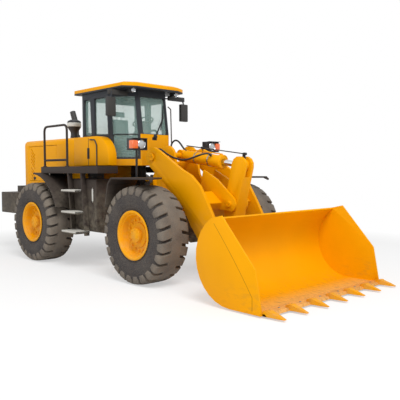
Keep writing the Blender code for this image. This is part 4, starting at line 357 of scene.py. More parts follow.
def metal(name, colour, roughness, streaks=(1.0, 1.0, 1.0)):
    """Bare or plated metal with fine lines along its length."""
    finish = Finish(name)
    point, *_ = finish.place()
    lines = finish.noise(finish.stretched(point, streaks), 60.0, 3.0)
    return finish.set(
        base_color=finish.blend(lines.above(0.5, 0.5) * 0.35, colour, shade(colour, 0.7)),
        metallic=1.0, roughness=roughness + (lines - 0.5) * 0.12,
    )


def window_glass(name, colour, cover):
    """Tinted pane: a thin green film that lets the cab show, with a faint dust haze."""
    finish = Finish(name)
    point, _x, _y, z = finish.place()
    haze = finish.noise(point, 2.0, 4.0)
    return finish.set(
        base_color=finish.blend(haze.above(0.5, 0.6) * 0.3, colour, linear("C9D6D2")),
        alpha=cover + haze.above(0.55, 0.5) * 0.08 + (1 - z.above(2.5, 1.0)) * 0.04,
        roughness=0.06, specular_ior_level=0.6,
    )


def lens(name, colour, glow):
    """Moulded lamp glass with fine vertical flutes."""
    finish = Finish(name)
    point, _x, y, _z = finish.place()
    cell = finish.noise(point, 60.0, 2.0)
    return finish.set(
        base_color=finish.blend(cell.above(0.5, 0.4) * 0.3, colour, shade(colour, 0.8)),
        roughness=0.12, coat_weight=0.8, coat_roughness=0.05,
        normal=finish.bump((y * 700.0).sine(), 0.3, 0.002),
        emission_color=colour, emission_strength=glow,
    )


def woven(name, colour):
    """Seat cloth: crossed threads with soft sheen."""
    finish = Finish(name)
    point, x, y, z = finish.place()
    threads = ((x + z) * 1500.0).sine() * ((y + z) * 1500.0).sine()
    cloud = finish.noise(point, 12.0, 3.0)
    return finish.set(
        base_color=finish.blend(cloud.above(0.5, 0.5) * 0.4, colour, shade(colour, 1.6)),
        roughness=0.85, sheen_weight=0.3, normal=finish.bump(threads, 0.35, 0.001),
    )


MATERIALS = {}


def make_materials(look):
    """Makes every finish from the colours in the panel."""
    yellow, dark, cab, wall, tread, tint = (
        tuple(colour) + (1.0,)
        for colour in (look.paint, look.chassis, look.cab, look.rubber, look.tread_rubber, look.glass)
    )
    MATERIALS.update(
        yellow=painted("yellow_paint", yellow, 0.9),
        bucket=bucket_paint("bucket_paint", yellow, at(3.9, 0, 0).x, 0.35),
        chassis=painted("dark_chassis_paint", dark, 1.2, 0.5, 0.5),
        cab=painted("cab_frame_paint", cab, 1.9, 0.4, 0.2, cab_patch, yellow),
        roof=painted("roof_paint", yellow, 0.9, patch=roof_patch, patch_colour=cab),
        frame=painted("frame_paint", yellow, 0.9, patch=frame_patch, patch_colour=dark),
        rubber=rubber("tyre_rubber", wall, 0.15),
        worn_rubber=rubber("tread_rubber", tread, 0.6),
        glass=window_glass("tinted_window_glass", tint, look.glass_cover),
        chrome=metal("chrome_rod", linear("D9DADC"), 0.12, (1.0, 20.0, 20.0)),
        steel=metal("worn_cutting_steel", linear("A8A29A"), 0.42, (1.0, 8.0, 8.0)),
        zinc=metal("plated_bolt", linear("A9A59B"), 0.35),
        plastic=plastic("black_plastic", linear("262628")),
        seal=plastic("window_rubber", linear("161618"), 0.7),
        hose=plastic("hose_rubber", linear("1C1C1D"), 0.5, 300.0),
        pipe=plastic("exhaust_black", linear("2A2826"), 0.6, 120.0),
        tread=plastic("step_plate_grey", linear("B9B6AE"), 0.6, 160.0),
        cloth=woven("seat_cloth", linear("34353A")),
        white_lens=lens("lamp_lens", linear("B4BCC2"), 0.0),
        orange_lens=lens("indicator_lens", linear("E86410"), 0.08),
        red_lens=lens("tail_lens", linear("B01810"), 0.1),
        mirror=metal("mirror_glass", linear("C8CCD0"), 0.04),
        band=plastic("intake_band", linear("C9C7BF"), 0.4),
    )


# Mesh helpers


def frame_of(direction):
    """Two unit vectors square to a direction and to each other."""
    forward = Vector(direction).normalized()
    side = forward.cross(Vector((0, 0, 1)) if abs(forward.z) < 0.9 else Vector((1, 0, 0))).normalized()
    return side, forward.cross(side)


def ring_of_verts(bm, centre, side, up, radius, steps):
    """Points of a circle about a centre."""
    angles = [2 * math.pi * k / steps for k in range(steps)]
    return [bm.verts.new(centre + (side * math.cos(a) + up * math.sin(a)) * radius) for a in angles]


def bridge(bm, first, second):
    """Joins two rings of points with a band of faces."""
    count = len(first)
    for k in range(count):
        bm.faces.new((first[k], first[(k + 1) % count], second[(k + 1) % count], second[k]))


def close_loft(bm, rings):
    """Joins rings of points, each to the next, and closes both ends."""
    for first, second in zip(rings, rings[1:]):
        bridge(bm, first, second)
    bm.faces.new(rings[0][::-1])
    bm.faces.new(rings[-1])


def add_tube(bm, path, radius, steps=16):
    """A round tube through points, with flat ends. Its section keeps from twisting."""
    points = [Vector(p) for p in path]
    headings = []
    for i, point in enumerate(points):
        before = point - points[i - 1] if i else points[1] - point
        after = points[i + 1] - point if i < len(points) - 1 else before
        headings.append((before.normalized() + after.normalized()).normalized())
    side, up = frame_of(headings[0])
    rings = []
    for point, heading in zip(points, headings):
        side = (side - heading * side.dot(heading)).normalized()
        up = heading.cross(side)
        rings.append(ring_of_verts(bm, point, side, up, radius, steps))
    close_loft(bm, rings)


def rounded_path(corners, radius, steps=6):
    """Points along straight runs whose corners are turned into arcs."""
    points = [Vector(c) for c in corners]
    path = [points[0]]
    for before, corner, after in zip(points, points[1:], points[2:]):
        back, on = (before - corner).normalized(), (after - corner).normalized()
        shorter = min((before - corner).length, (after - corner).length)
        reach = min(radius / math.tan(back.angle(on) / 2), shorter * 0.49)
        start, end = corner + back * reach, corner + on * reach
        for k in range(steps + 1):
            t = k / steps
            path.append(start * (1 - t) ** 2 + corner * 2 * t * (1 - t) + end * t ** 2)
    return path + [points[-1]]


def smooth_path(points, per_span=6):
    """A soft curve through points, as a hose lies."""
    p = [Vector(v) for v in points]
    p = [p[0] * 2 - p[1]] + p + [p[-1] * 2 - p[-2]]
    path = []
    for a, b, c, d in zip(p, p[1:], p[2:], p[3:]):
        for k in range(per_span):
            t = k / per_span
            bend, twist = a * 2 - b * 5 + c * 4 - d, b * 3 - a - c * 3 + d
            path.append(0.5 * (b * 2 + (c - a) * t + bend * t ** 2 + twist * t ** 3))
    return path + [p[-2]]


def add_turned(bm, profile, centre, axis, steps=48, closed=False):
    """Turns (radius, along) points about an axis. A radius of 0 closes at a pole."""
    side, up = frame_of(axis)
    forward = Vector(axis).normalized()
    rings = []
    for radius, along in profile:
        point = Vector(centre) + forward * along
        if radius < MERGE_DISTANCE:
            rings.append([bm.verts.new(point)])
        else:
            rings.append(ring_of_verts(bm, point, side, up, radius, steps))
    pairs = list(zip(rings, rings[1:])) + ([(rings[-1], rings[0])] if closed else [])
    for first, second in pairs:
        if len(first) == 1 or len(second) == 1:
            pole, loop = (first[0], second) if len(first) == 1 else (second[0], first)
            for k in range(steps):
                bm.faces.new((pole, loop[k], loop[(k + 1) % steps]))
        else:
            bridge(bm, first, second)


def add_prism(bm, outline, start, end):
    """A closed outline of points moved from one offset to another."""
    close_loft(bm, [[bm.verts.new(Vector(p) + Vector(offset)) for p in outline] for offset in (start, end)])


def add_block(bm, low, high, bevel=0.0):
    """A box between two corners, with its edges rounded."""
    low, high = Vector(low), Vector(high)
    corners = ((low.x, low.y, 0), (high.x, low.y, 0), (high.x, high.y, 0), (low.x, high.y, 0))
    part = bmesh.new()
    add_prism(part, corners, (0, 0, low.z), (0, 0, high.z))
    if bevel:
        bmesh.ops.bevel(part, geom=part.edges[:], offset=bevel, segments=2, profile=0.6, affect="EDGES")
    join(bm, part)


def add_side_block(bm, side, x, y, z, bevel=0.0):
    """A box given by its ranges, with its distances from the middle taken to one side."""
    near, far = sorted((side * y[0], side * y[1]))
    add_block(bm, at(x[0], near, z[0]), at(x[1], far, z[1]), bevel)


def join(bm, part):
    """Copies one mesh into another and frees it."""
    moved = {v: bm.verts.new(v.co) for v in part.verts}
    for face in part.faces:
        bm.faces.new([moved[v] for v in face.verts])
    part.free()


def bevel_corners(bm, angle, width, segments):
    """Cuts off a mesh's edges that turn by more than an angle in degrees."""
    bmesh.ops.recalc_face_normals(bm, faces=bm.faces[:])
    sharp = [e for e in bm.edges if e.calc_face_angle(0.0) > math.radians(angle)]
    bmesh.ops.bevel(bm, geom=sharp, offset=width, segments=segments, affect="EDGES", clamp_overlap=True)


def new_object(name, bm):
    """Makes a mesh an object of the scene, with its faces outwards."""
    bmesh.ops.recalc_face_normals(bm, faces=bm.faces[:])
    mesh = bpy.data.meshes.new(name)
    bm.to_mesh(mesh)
    bm.free()
    obj = bpy.data.objects.new(name, mesh)
    bpy.context.scene.collection.objects.link(obj)
    return obj


def soften(obj):
    """Shades the curves smooth and keeps the real edges sharp."""
    obj.data.shade_smooth()
    obj.data.set_sharp_from_angle(angle=SMOOTH_ANGLE)


def piece(name, bm, material, body, replaces=(), bevel=0.0):
    """Makes the finished object of a mesh, has it ride on its body, and hides the nodes it stands for."""
    obj = new_object(name, bm)
    obj.data.materials.append(MATERIALS[material])
    if bevel:
        round_edges(obj, bevel)
    soften(obj)
    if body:
        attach(obj, body)
    if replaces:
        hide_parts(*replaces)
    return obj


def built(name, material, body, *parts, replaces=(), bevel=0.0):
    """A piece made of parts, each a function that adds to a mesh and what it takes."""
    bm = bmesh.new()
    for add, *values in parts:
        add(bm, *values)
    return piece(name, bm, material, body, replaces, bevel)


def round_edges(obj, width):
    """Rounds the sharp edges of an object's mesh for good."""
    modifier = obj.modifiers.new("Round", "BEVEL")
    modifier.width = width
    modifier.segments = 2
    modifier.limit_method = "ANGLE"
    modifier.angle_limit = math.radians(30)
    modifier.use_clamp_overlap = True
    baked(obj)


def baked(obj):
    """Turns an object's modifiers into its plain mesh."""
    graph = bpy.context.evaluated_depsgraph_get()
    graph.update()
    mesh = bpy.data.meshes.new_from_object(obj.evaluated_get(graph), depsgraph=graph)
    obj.modifiers.clear()
    obj.data = mesh


def body_of(node):
    """The body that a solid's node belongs to."""
    return frame["nodes"][node]["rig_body"]


def loose_solid(node, angle=1):
    """A copy of a solid's mesh, with triangles that turn by less than an angle merged."""
    bm = bmesh.new()
    bm.from_mesh(frame["nodes"][node].data)
    bmesh.ops.remove_doubles(bm, verts=bm.verts[:], dist=MERGE_DISTANCE)
    bmesh.ops.dissolve_limit(bm, angle_limit=math.radians(angle), verts=bm.verts[:], edges=bm.edges[:])
    return bm


def dressed(node, material, bevel):
    """A copy of a solid with its edges rounded and its curves shaded smooth, in its place."""
    return piece(f"{node}_dressed", loose_solid(node), material, body_of(node), (node,), bevel)


# Repeats by Geometry Nodes


def new_tree(name, inputs):
    """A geometry tree with named inputs."""
    tree = bpy.data.node_groups.new(name, "GeometryNodeTree")
    tree.interface.new_socket("Geometry", in_out="INPUT", socket_type="NodeSocketGeometry")
    for label, kind in inputs:
        tree.interface.new_socket(label, in_out="INPUT", socket_type=f"NodeSocket{kind}")
    tree.interface.new_socket("Geometry", in_out="OUTPUT", socket_type="NodeSocketGeometry")
    return tree


def tree_node(tree, kind, settings=None, values=None):
    """Adds a node to a geometry tree and fills or links its sockets."""
    node = tree.nodes.new(kind)
    for name, setting in (settings or {}).items():
        setattr(node, name, setting)
    for name, value in (values or {}).items():
        if isinstance(value, bpy.types.NodeSocket):
            tree.links.new(value, node.inputs[name])
        else:
            node.inputs[name].default_value = value
    return node


def close_tree(tree, source, instances):
    """Ends a tree: the copies are made real and take their material."""
    real = tree_node(tree, "GeometryNodeRealizeInstances", values={"Geometry": instances})
    coat = tree_node(
        tree, "GeometryNodeSetMaterial",
        values={"Geometry": real.outputs[0], "Material": source.outputs["Material"]},
    )
    tree_node(tree, "NodeGroupOutput", values={"Geometry": coat.outputs[0]})


def tree_maths(tree, operation, *values):
    """One sum on numbers in a geometry tree."""
    return tree_node(tree, "ShaderNodeMath", {"operation": operation}, dict(enumerate(values))).outputs[0]


def scaled(tree, vector, factor):
    """A vector in a geometry tree made longer by a factor."""
    return tree_node(
        tree, "ShaderNodeVectorMath", {"operation": "SCALE"}, {0: vector, "Scale": factor}
    ).outputs[0]


def ring_tree():
    """Copies a mesh, drawn about the origin, round an axis at even turns."""
    tree = new_tree("Ring Of Copies", (
        ("Count", "Int"), ("Axis", "Vector"), ("Centre", "Vector"), ("First Turn", "Float"),
        ("Material", "Material"),
    ))
    source = tree.nodes.new("NodeGroupInput")
    points = tree_node(tree, "GeometryNodePoints", values={
        "Count": source.outputs["Count"], "Position": source.outputs["Centre"],
    })
    index = tree_node(tree, "GeometryNodeInputIndex").outputs[0]
    share = tree_maths(tree, "DIVIDE", index, source.outputs["Count"])
    turn = tree_maths(tree, "MULTIPLY_ADD", share, 2 * math.pi, source.outputs["First Turn"])
    rotation = tree_node(tree, "FunctionNodeAxisAngleToRotation", values={
        "Axis": source.outputs["Axis"], "Angle": turn,
    })
    copies = tree_node(tree, "GeometryNodeInstanceOnPoints", values={
        "Points": points.outputs[0], "Instance": source.outputs["Geometry"], "Rotation": rotation.outputs[0],
    })
    close_tree(tree, source, copies.outputs[0])
    return tree


def grid_tree():
    """Copies a mesh in columns and rows, each a step away from the last."""
    tree = new_tree("Grid Of Copies", (
        ("Columns", "Int"), ("Rows", "Int"), ("Column Step", "Vector"), ("Row Step", "Vector"),
        ("Material", "Material"),
    ))
    source = tree.nodes.new("NodeGroupInput")
    columns = source.outputs["Columns"]
    index = tree_node(tree, "GeometryNodeInputIndex").outputs[0]
    row = tree_maths(tree, "FLOOR", tree_maths(tree, "DIVIDE", index, columns))
    total = tree_node(tree, "ShaderNodeVectorMath", {"operation": "ADD"}, {
        0: scaled(tree, source.outputs["Column Step"], tree_maths(tree, "MODULO", index, columns)),
        1: scaled(tree, source.outputs["Row Step"], row),
    })
    points = tree_node(tree, "GeometryNodePoints", values={
        "Count": tree_maths(tree, "MULTIPLY", columns, source.outputs["Rows"]), "Position": total.outputs[0],
    })
    copies = tree_node(tree, "GeometryNodeInstanceOnPoints", values={
        "Points": points.outputs[0], "Instance": source.outputs["Geometry"],
    })
    close_tree(tree, source, copies.outputs[0])
    return tree


TREES = {}


def repeated(name, bm, tree_name, material, body, **inputs):
    """A piece made of copies of a small mesh, as its tree sets them out."""
    if tree_name not in TREES:
        TREES[tree_name] = {"ring": ring_tree, "grid": grid_tree}[tree_name]()
    tree = TREES[tree_name]
    obj = new_object(name, bm)
    modifier = obj.modifiers.new("Copies", "NODES")
    modifier.node_group = tree
    inputs["material"] = MATERIALS[material]
    named = {item.name.lower().replace(" ", "_"): item.identifier for item in tree.interface.items_tree}
    for label, value in inputs.items():
        modifier[named[label]] = value
    baked(obj)
    soften(obj)
    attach(obj, body)


def add_bolt(bm, centre, axis, radius, height):
    """A hexagon head on a washer."""
    washer = [(0, 0), (radius * 1.35, 0), (radius * 1.35, height * 0.3), (0, height * 0.3)]
    add_turned(bm, washer, centre, axis, 16)
    head = [(0, 0), (radius, 0), (radius, height * 0.85), (radius * 0.85, height), (0, height)]
    add_turned(bm, head, centre, axis, BOLT_SIDES)


# Sizes and colours that a user may change


class LoaderLook(bpy.types.PropertyGroup):
    """Colours of the machine's finishes."""

    paint: bpy.props.FloatVectorProperty(
        name="Paint", description="Yellow of the panels and the arm", subtype="COLOR", size=3,
        default=linear("F2A500")[:3], min=0, max=1,
    )
    chassis: bpy.props.FloatVectorProperty(
        name="Chassis", description="Dark paint of the tanks, fenders and counterweight", subtype="COLOR",
        size=3, default=linear("3D3531")[:3], min=0, max=1,
    )
    cab: bpy.props.FloatVectorProperty(
        name="Cab frame", description="Dark paint of the cab's posts", subtype="COLOR", size=3,
        default=linear("3A3C40")[:3], min=0, max=1,
    )
    rubber: bpy.props.FloatVectorProperty(
        name="Rubber", description="Rubber of the tyres' side walls", subtype="COLOR", size=3,
        default=linear("2B282B")[:3], min=0, max=1,
    )
    tread_rubber: bpy.props.FloatVectorProperty(
        name="Tread", description="Dusty rubber of the tread", subtype="COLOR", size=3,
        default=linear("5A534D")[:3], min=0, max=1,
    )
    glass: bpy.props.FloatVectorProperty(
        name="Window tint", description="Tint of the cab's panes", subtype="COLOR", size=3,
        default=linear("A2C8BE")[:3], min=0, max=1,
    )
    glass_cover: bpy.props.FloatProperty(
        name="Window haze", description="Share of a pane that hides what is behind it", subtype="FACTOR",
        default=0.20, min=0, max=1,
    )


class LoaderSizes(bpy.types.PropertyGroup):
    """Sizes of the trim that dresses the solids."""

    lugs_per_side: bpy.props.IntProperty(
        name="Lugs per side", description="Tread lugs on each shoulder of a tyre", default=25, min=8, max=40,
    )
    lug_height: bpy.props.FloatProperty(
        name="Lug height", description="Depth of the tread", subtype="DISTANCE", unit="LENGTH", default=0.040,
    )
    wheel_bolts: bpy.props.IntProperty(
        name="Wheel bolts", description="Nuts that hold each wheel disc", default=16, min=4, max=32,
    )
    panel_edge: bpy.props.FloatProperty(
        name="Panel edge", description="Rounding of sheet metal edges", subtype="DISTANCE", unit="LENGTH",
        default=0.008,
    )
    plate_edge: bpy.props.FloatProperty(
        name="Plate edge", description="Rounding of thick plate edges", subtype="DISTANCE", unit="LENGTH",
        default=0.006,
    )
    seal_radius: bpy.props.FloatProperty(
        name="Window seal", description="Radius of the rubber round each pane", subtype="DISTANCE",
        unit="LENGTH", default=0.011,
    )
    hose_radius: bpy.props.FloatProperty(
        name="Hose", description="Radius of the hydraulic hoses", subtype="DISTANCE", unit="LENGTH",
        default=0.016,
    )


class LoaderStage(bpy.types.PropertyGroup):
    """The floor, the light and the camera."""

    floor: bpy.props.FloatVectorProperty(
        name="Floor", description="Colour of the floor", subtype="COLOR", size=3, default=(0.9, 0.9, 0.9),
        min=0, max=1,
    )
    key: bpy.props.FloatProperty(
        name="Key light", description="Power of the main light", subtype="POWER", unit="POWER",
        default=2550.0,
    )
    fill: bpy.props.FloatProperty(
        name="Sky", description="Strength of the light from all round", default=0.58, min=0,
    )
    camera_place: bpy.props.FloatVectorProperty(
        name="Camera", description="Place of the camera", subtype="TRANSLATION", unit="LENGTH", size=3,
        default=(8.341, -6.740, 1.852),
    )
    lens: bpy.props.FloatProperty(
        name="Lens", description="Focal length in millimetres", default=49.84, min=10, max=200,
    )


def sizes():
    """The sizes set in the panel."""
    return bpy.context.scene.loader_sizes


# Tyres and wheels

TYRE_SECTION = (
    # radius, place across, from the bead to the crown
    (0.362, 0.205), (0.375, 0.228), (0.405, 0.240), (0.432, 0.244), (0.442, 0.256), (0.458, 0.262),
    (0.470, 0.262), (0.476, 0.268), (0.520, 0.278), (0.560, 0.283), (0.600, 0.285), (0.640, 0.284),
    (0.672, 0.278), (0.676, 0.280), (0.692, 0.276), (0.700, 0.270), (0.722, 0.258), (0.742, 0.236),
    (0.755, 0.190), (0.762, 0.110), (0.765, 0.0),
)
CROWN_SECTION = (
    (0.755, -0.110), (0.798, -0.104), (0.802, -0.090), (0.8035, 0.0), (0.802, 0.090), (0.798, 0.104),
    (0.755, 0.110),
)
LUG_STATIONS = (
    # base across and radius, top across and radius, share of the skew, share of the half width
    (0.085, 0.752, 0.085, 0.8025, 1.00, 1.00),
    (0.130, 0.750, 0.130, 0.8045, 0.80, 1.00),
    (0.190, 0.742, 0.194, 0.801, 0.45, 1.00),
    (0.238, 0.728, 0.251, 0.788, 0.12, 1.00),
    (0.256, 0.708, 0.279, 0.757, 0.03, 0.96),
    (0.270, 0.682, 0.2885, 0.708, 0.00, 0.84),
    (0.278, 0.658, 0.2865, 0.664, 0.00, 0.70),
)
LUG_SHARE = 0.80
LUG_DRAFT_SHARE = 0.92
LUG_SKEW_SHARE = 0.22
LUG_EDGE = 0.007
LUG_FULL_HEIGHT = 0.040
LUG_CROWN_RADIUS = 0.78


def wheel_centre(word):
    """The middle of a wheel, from its tyre's solid."""
    low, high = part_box(f"tyre_{word}")
    return (low + high) / 2


def wheel_ring(name, bm, material, word, count):
    """Copies of a mesh round a wheel's axle."""
    repeated(
        name, bm, "ring", material, f"wheel_{word}", count=count, axis=ACROSS,
        centre=tuple(wheel_centre(word)), first_turn=0.0,
    )


def lug_mesh(side, count, height):
    """One tread lug about the wheel's centre, from the crown over the shoulder."""
    pitch = 2 * math.pi / count
    half = pitch * LUG_SHARE / 2
    middle = pitch * (0.75 if side > 0 else 0.25)
    bm = bmesh.new()
    rings = []
    for base_w, base_r, top_w, top_r, skew, width in LUG_STATIONS:
        top_r -= LUG_FULL_HEIGHT - height if top_r > LUG_CROWN_RADIUS else 0
        centre = middle + skew * LUG_SKEW_SHARE * pitch
        foot, top = half * width, half * width * LUG_DRAFT_SHARE
        rings.append([
            bm.verts.new((r * math.cos(centre + turn), side * w, r * math.sin(centre + turn)))
            for turn, w, r in (
                (-foot, base_w, base_r), (-top, top_w, top_r), (top, top_w, top_r), (foot, base_w, base_r),
            )
        ])
    close_loft(bm, rings)
    bevel_corners(bm, 35, LUG_EDGE, 1)
    return bm


class LOADER_OT_tyres(bpy.types.Operator):
    """Tyres with rounded sidewalls and deep chevron tread"""

    bl_idname = "loader.tyres"
    bl_label = "Tyres"

    def execute(self, context):
        section = [(r, -w) for r, w in TYRE_SECTION] + [(r, w) for r, w in reversed(TYRE_SECTION[:-1])]
        count, height = sizes().lugs_per_side, sizes().lug_height
        for word in WHEELS:
            centre, body = wheel_centre(word), f"wheel_{word}"
            casing = (add_turned, section, centre, ACROSS, 96, True)
            crown = (add_turned, CROWN_SECTION, centre, ACROSS, 96, True)
            built(f"tyre_{word}_casing", "rubber", body, casing, replaces=(f"tyre_{word}",))
            built(f"tyre_{word}_crown", "worn_rubber", body, crown)
            for label, side in LEFT_AND_RIGHT:
                lug = lug_mesh(side, count, height)
                wheel_ring(f"tyre_{word}_tread_{label}", lug, "worn_rubber", word, count)
        return {"FINISHED"}


DISC_SECTION = (
    # radius, distance out from the wheel's middle
    (0, 0.218), (0.060, 0.218), (0.072, 0.212), (0.112, 0.210), (0.120, 0.200), (0.126, 0.150),
    (0.150, 0.140), (0.196, 0.136), (0.203, 0.118), (0.288, 0.114), (0.306, 0.122), (0.318, 0.150),
    (0.330, 0.205), (0.334, 0.222), (0.350, 0.226), (0.356, 0.244), (0.366, 0.262), (0.378, 0.268),
    (0.396, 0.268), (0.404, 0.262), (0.405, 0.252), (0.392, 0.244), (0.361, 0.222), (0.359, 0.0),
    (0.359, -0.222), (0.392, -0.244), (0.405, -0.252), (0.404, -0.262), (0.396, -0.266),
    (0.372, -0.262), (0.350, -0.235), (0.332, -0.215), (0.330, 0.076), (0, 0.076),
)
HUB_BOLT_COUNT = 8


class LOADER_OT_wheels(bpy.types.Operator):
    """Deep yellow wheel discs with their hubs and nuts"""

    bl_idname = "loader.wheels"
    bl_label = "Wheel discs"

    def execute(self, context):
        bolt_rings = (
            # name, count, radius of the ring, distance out, radius and height of a head
            ("nuts", sizes().wheel_bolts, 0.250, 0.112, 0.018, 0.026),
            ("cap_bolts", HUB_BOLT_COUNT, 0.092, 0.208, 0.010, 0.012),
        )
        for word in WHEELS:
            side = 1 if word.endswith("left") else -1
            disc = (add_turned, DISC_SECTION, wheel_centre(word), (0, side, 0), 64)
            built(f"rim_{word}_disc", "yellow", f"wheel_{word}", disc, replaces=(f"rim_{word}",))
            for name, count, radius, out, head, height in bolt_rings:
                bm = bmesh.new()
                add_bolt(bm, (radius, side * out, 0), (0, side, 0), head, height)
                wheel_ring(f"rim_{word}_{name}", bm, "yellow", word, count)
        return {"FINISHED"}


# Panels and plates that keep their solids' form

# Solids of sheet metal, by finish
PANELS = {
    "yellow": ("hood", "side_cover_right"),
    "roof": ("cab_roof",),
    "chassis": (
        "hood_sill_left", "hood_sill_right", "tank_left", "tank_right", "access_left", "access_right",
    ),
    "cab": ("cab_shell", "cab_door_frame_left"),
}
# Plates, castings and housings, by finish
PLATES = {
    "yellow": (
        "front_frame", "boom", "rocker", "tilt_link", "fender_bracket_left", "fender_bracket_right",
    ),
    "frame": ("rear_frame",),
    "chassis": ("counterweight", "front_axle", "rear_axle"),
    "bucket": ("bucket_shell",),
    "plastic": ("headlamp_left", "headlamp_right"),
}
# Solids that stay as they are, by finish
KEPT = {
    "yellow": ("hood_panel_left", "hood_panel_right"),
    "chassis": ("engine_block",),
    "plastic": ("rear_grille",),
    "glass": (
        "glass_corner_left", "glass_corner_right", "glass_front", "glass_rear", "glass_side_left",
        "glass_side_right_front", "glass_side_right_rear", "cab_door_glass_left",
    ),
}
# x and distance from the middle of the two ends of a front fender's front edge
FENDER_FRONT = ((2.245, 1.42), (1.80, 0.84))


class LOADER_OT_panels(bpy.types.Operator):
    """Sheet panels, plates and castings with rounded edges, and the panes"""

    bl_idname = "loader.panels"
    bl_label = "Panels and plates"

    def execute(self, context):
        for groups, bevel in ((PANELS, sizes().panel_edge), (PLATES, sizes().plate_edge)):
            for material, nodes in groups.items():
                for node in nodes:
                    dressed(node, material, bevel)
        for material, nodes in KEPT.items():
            for node in nodes:
                for slot in frame["nodes"][node].material_slots:
                    slot.material = MATERIALS[material]
        self.fenders()
        return {"FINISHED"}

    def fenders(self):
        """The front fenders, whose front edge runs back towards the machine."""
        for word, side in LEFT_AND_RIGHT:
            node = f"fender_{word}"
            bm = loose_solid(node)
            outer, inner = (at(x, side * y, 0) for x, y in FENDER_FRONT)
            normal = (inner - outer).cross(Vector(UP))
            if normal.x < 0:
                normal.negate()
            whole = bm.verts[:] + bm.edges[:] + bm.faces[:]
            cut = bmesh.ops.bisect_plane(bm, geom=whole, plane_co=outer, plane_no=normal, clear_outer=True)
            rim = [e for e in cut["geom_cut"] if isinstance(e, bmesh.types.BMEdge)]
            bmesh.ops.holes_fill(bm, edges=rim)
            piece(f"{node}_dressed", bm, "chassis", "front", (node,), sizes().panel_edge)


# Exhaust and air intake


STACK_FOOT_Z = 2.532
EXHAUST_PLACE = (-2.02, -0.12)
EXHAUST_PATH = ((0.0, 2.535), (0.01, 2.86), (-0.13, 3.16))
EXHAUST_COLLAR = ((0, 0), (0.105, 0), (0.105, 0.015), (0.085, 0.10), (0.062, 0.13), (0, 0.13))
INTAKE_PLACE = (-1.70, -0.36)
INTAKE_CONE = (
    (0, 0), (0.085, 0), (0.085, 0.02), (0.075, 0.10), (0.080, 0.15), (0.132, 0.23), (0.150, 0.27), (0, 0.27),
)
INTAKE_BOWL = ((0, 0.335), (0.142, 0.335), (0.149, 0.35), (0.134, 0.385), (0.08, 0.41), (0, 0.415))
INTAKE_BAND = (
    (0.132, 0.262), (0.148, 0.262), (0.152, 0.270), (0.152, 0.338), (0.148, 0.344), (0.132, 0.344),
)


class LOADER_OT_stacks(bpy.types.Operator):
    """The curved exhaust and the bowl of the air intake"""

    bl_idname = "loader.stacks"
    bl_label = "Exhaust and intake"

    def execute(self, context):
        x, y = EXHAUST_PLACE
        path = rounded_path([at(x + back, y, z) for back, z in EXHAUST_PATH], 0.34, 12)
        built(
            "exhaust_stack", "pipe", "root", (add_tube, path, 0.062, 24),
            (add_turned, EXHAUST_COLLAR, at(x, y, STACK_FOOT_Z), UP, 32), replaces=("exhaust_pipe",),
        )
        foot = at(*INTAKE_PLACE, STACK_FOOT_Z)
        cone, bowl = ((add_turned, section, foot, UP, 40) for section in (INTAKE_CONE, INTAKE_BOWL))
        built("intake_bowl", "plastic", "root", cone, bowl, replaces=("air_intake",))
        built("intake_band", "band", "root", (add_turned, INTAKE_BAND, foot, UP, 40, True))
        return {"FINISHED"}


# Cab trim


def pane_outline(node):
    """The corners of a pane's outer face, in order."""
    bm = loose_solid(node, 2)
    low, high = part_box("cab_shell")
    centre = (low + high) / 2
    big = sorted(bm.faces, key=lambda f: -f.calc_area())[:2]
    outer = max(big, key=lambda f: (f.calc_center_median() - centre).length)
    corners = [v.co.copy() for v in outer.verts]
    bm.free()
    return corners


def on_pane(node, across, height, proud):
    """The point of a pane's outer face at a place across and a height, moved out of the face."""
    corners = pane_outline(node)
    normal = (corners[1] - corners[0]).cross(corners[2] - corners[1]).normalized()
    middle = sum(corners, Vector()) / len(corners)
    low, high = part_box("cab_shell")
    if normal.dot(middle - (low + high) / 2) < 0:
        normal.negate()
    point = Vector((0, across, height + GROUND_Z))
    point.x = middle.x - (normal.y * (point.y - middle.y) + normal.z * (point.z - middle.z)) / normal.x
    return point + normal * proud


# distance to the left and height of points on the front pane
WIPER_FOOT = (-0.01, 2.49)
WIPER_HEAD = (0.22, 2.86)
WIPER_BLADE = ((0.15, 2.62), (0.27, 3.10))
FRONT_RAIL = ((0.600, 0.33, 3.08), (0.665, 0.345, 3.03), (0.685, 0.345, 2.28), (0.62, 0.33, 2.22))
# x, inner and outer distance from the middle, underside, top
MIRROR_FACE = (0.3985, 0.812, 0.968, 2.855, 3.165)
# back, front, distance from the middle, half the width, underside, top
ROOF_LAMP = (0.498, 0.622, 0.52, 0.062, 3.286, 3.36)
ROOF_LAMP_DOME = ((0, 0.020), (0.020, 0.018), (0.036, 0.010), (0.040, 0), (0, 0))
ROOF_LAMP_RIM = ((0.038, -0.002), (0.047, -0.002), (0.047, 0.010), (0.043, 0.014), (0.038, 0.010))
WIPER_MOTOR = ((-0.05, -0.075, -0.075), (-0.012, 0.045, -0.015))
WIPER_HUB = ((0, -0.05), (0.042, -0.05), (0.042, 0.0), (0.030, 0.012), (0, 0.012))


